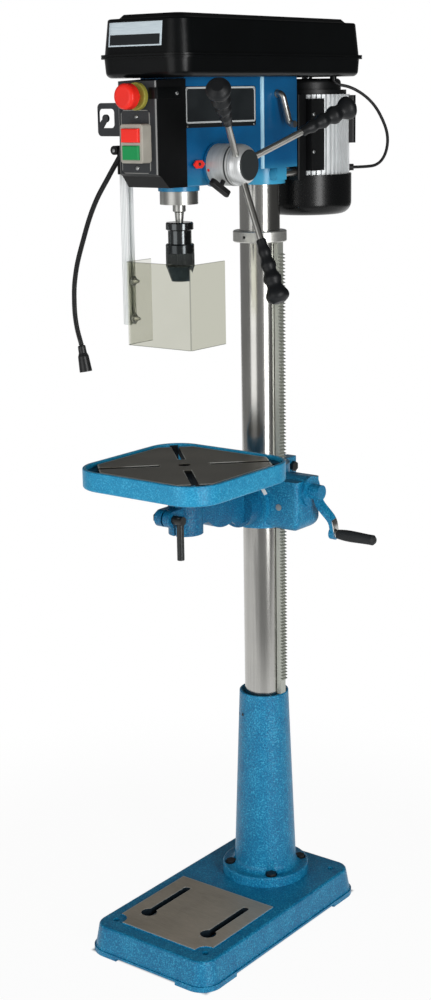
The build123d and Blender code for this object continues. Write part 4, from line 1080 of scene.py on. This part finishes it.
# The pale strip stands partly for a painted highlight of the column seen through the gap.
scale_radius, scale_width, scale_start, scale_sweep = 0.0463, 0.0102, radians(86), radians(58)
edge_y = 0.5
tilt_scale = square("tilt_scale")
bpy.ops.mesh.delete(type="ONLY_FACE")
pick(tilt_scale, "edges", lambda middle, run: middle.y > edge_y * 0.8)
bpy.ops.mesh.select_all(action="INVERT")
bpy.ops.mesh.delete(type="EDGE")
bpy.ops.mesh.select_all(action="SELECT")
bpy.ops.transform.rotate(value=radians(90), orient_axis="Y", center_override=(0, edge_y, 0))
resize(0, 0, scale_width, middle=(0, edge_y, 0))
bpy.ops.transform.translate(value=(scale_radius * cos(scale_start), scale_radius * sin(scale_start) - edge_y, 0))
bpy.ops.mesh.spin(steps=16, angle=scale_sweep, center=(0, 0, 0), axis=(0, 0, 1))
bpy.ops.mesh.select_all(action="SELECT")
bpy.ops.mesh.remove_doubles(threshold=merge_gap)
close_mesh(outward=True)
thicken(tilt_scale, 0.0004, offset=0.0)
hand_over(seat(tilt_scale, (0, 0.0832, 0.812), front_out), "bracket", scale_and_highlight_pale)
print("pointer, tilt scale and", count, "socket screws")

# %% [markdown]
# The stage is a white sweep behind the machine and a dim room around the camera. The world is white
# for the camera and through the clear sheet. In a mirror it is white only where the sweep stands,
# and grey in the room, which gives the column its dark bands. Light from the side is stronger than
# from above, and tall soft boxes draw the bright bands.

# %% Studio
world = bpy.data.worlds.new("studio")
world.use_nodes = True
bpy.context.scene.world = world
world.node_tree.nodes.clear()
sky = Graph(world.node_tree)
camera_ray, glossy_ray, clear_ray = sky.rays()
view = sky.node("ShaderNodeTexCoord", out="Generated")
behind, rightward, rise = view.along(away), view.along(level), view.along((0, 0, 1))
room = (0.3 - rightward.over(0.45, 0.5) * 0.22) * (1 - rise.over(0.2, 0.24) * 0.7)
sweep = behind.over(0.93, 0.1) * rise.under(0.08, 0.12)
mirror = room * (1 - sweep) + sweep
window_turn = radians(-5)
window = view.along((sin(window_turn), -cos(window_turn), 0)).over(0.75, 0.5)
fill = 0.32 - rise.over(0.3, 0.6) * 0.26 + window * 0.95
seen = camera_ray.most(clear_ray)
strength = seen + (1 - seen) * (glossy_ray * mirror + (1 - glossy_ray) * fill)
sky.end("ShaderNodeOutputWorld", sky.node("ShaderNodeBackground", {}, {"Color": (1, 1, 1), "Strength": strength}))

lamp_reach, lamp_height, lamp_tall, lamp_aim = 3.2, 1.15, 2.3, Vector((0, 0.1, 0.9))


def soft_box(name, azimuth, width, power):
    """An area lamp round the column, at an angle from the front towards the right."""
    turn = radians(azimuth)
    place = Vector((lamp_reach * sin(turn), column_y - lamp_reach * cos(turn), lamp_height))
    lamp = add_object(name, bpy.data.lights.new(name, "AREA"))
    lamp.data.shape = "RECTANGLE"
    lamp.data.size, lamp.data.size_y = width, lamp_tall
    lamp.data.energy = power
    lamp.location = place
    lamp.rotation_euler = (lamp_aim - place).to_track_quat("-Z", "Y").to_euler()


soft_box("box_left", -7.0, 2.0, 23.0)
soft_box("box_right", 68.0, 0.9, 66.0)

floor = square("floor")
resize(6.0, 13.0, 1)
bpy.ops.transform.translate(value=(0, 5.3, 0))
close_mesh()
floor.matrix_world = Matrix.Rotation(yaw, 4, "Z")
floor_paint = bpy.data.materials.new("floor_white")
floor_paint.use_nodes = True
floor_paint.node_tree.nodes.clear()
ground = Graph(floor_paint.node_tree)
camera_ray, glossy_ray, clear_ray = ground.rays()
spot = ground.node("ShaderNodeTexCoord", out="Object")
far = ground.node("ShaderNodeVectorMath", {"operation": "LENGTH"}, {0: spot}, out=1).over(0.85, 0.6)
low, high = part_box("base")
middle, half, rim = (low + high) / 2, (high - low) / 2, 0.008
across, along, height = ground.split(ground.node("ShaderNodeNewGeometry"))
covered = (across - middle.x).size().under(half.x - rim, rim)
covered = covered * (along - middle.y).size().under(half.y - rim, rim)
share = camera_ray.most(glossy_ray).most(clear_ray) * (0.955 + far * 0.045) * (1 - covered)
matt = ground.node("ShaderNodeBsdfDiffuse", {}, {"Color": (0.9, 0.9, 0.9)})
glow = ground.node("ShaderNodeEmission", {}, {"Strength": 1.0})
ground.end("ShaderNodeOutputMaterial", ground.node("ShaderNodeMixShader", {}, {0: share, 1: matt, 2: glow}))
floor.data.materials.append(floor_paint)
bpy.context.scene.view_settings.view_transform = "Standard"
print("studio: two soft boxes and a floor")

# %% [markdown]
# The view layer is brought up to date at the end.

# %% Last update
bpy.context.view_layer.update()
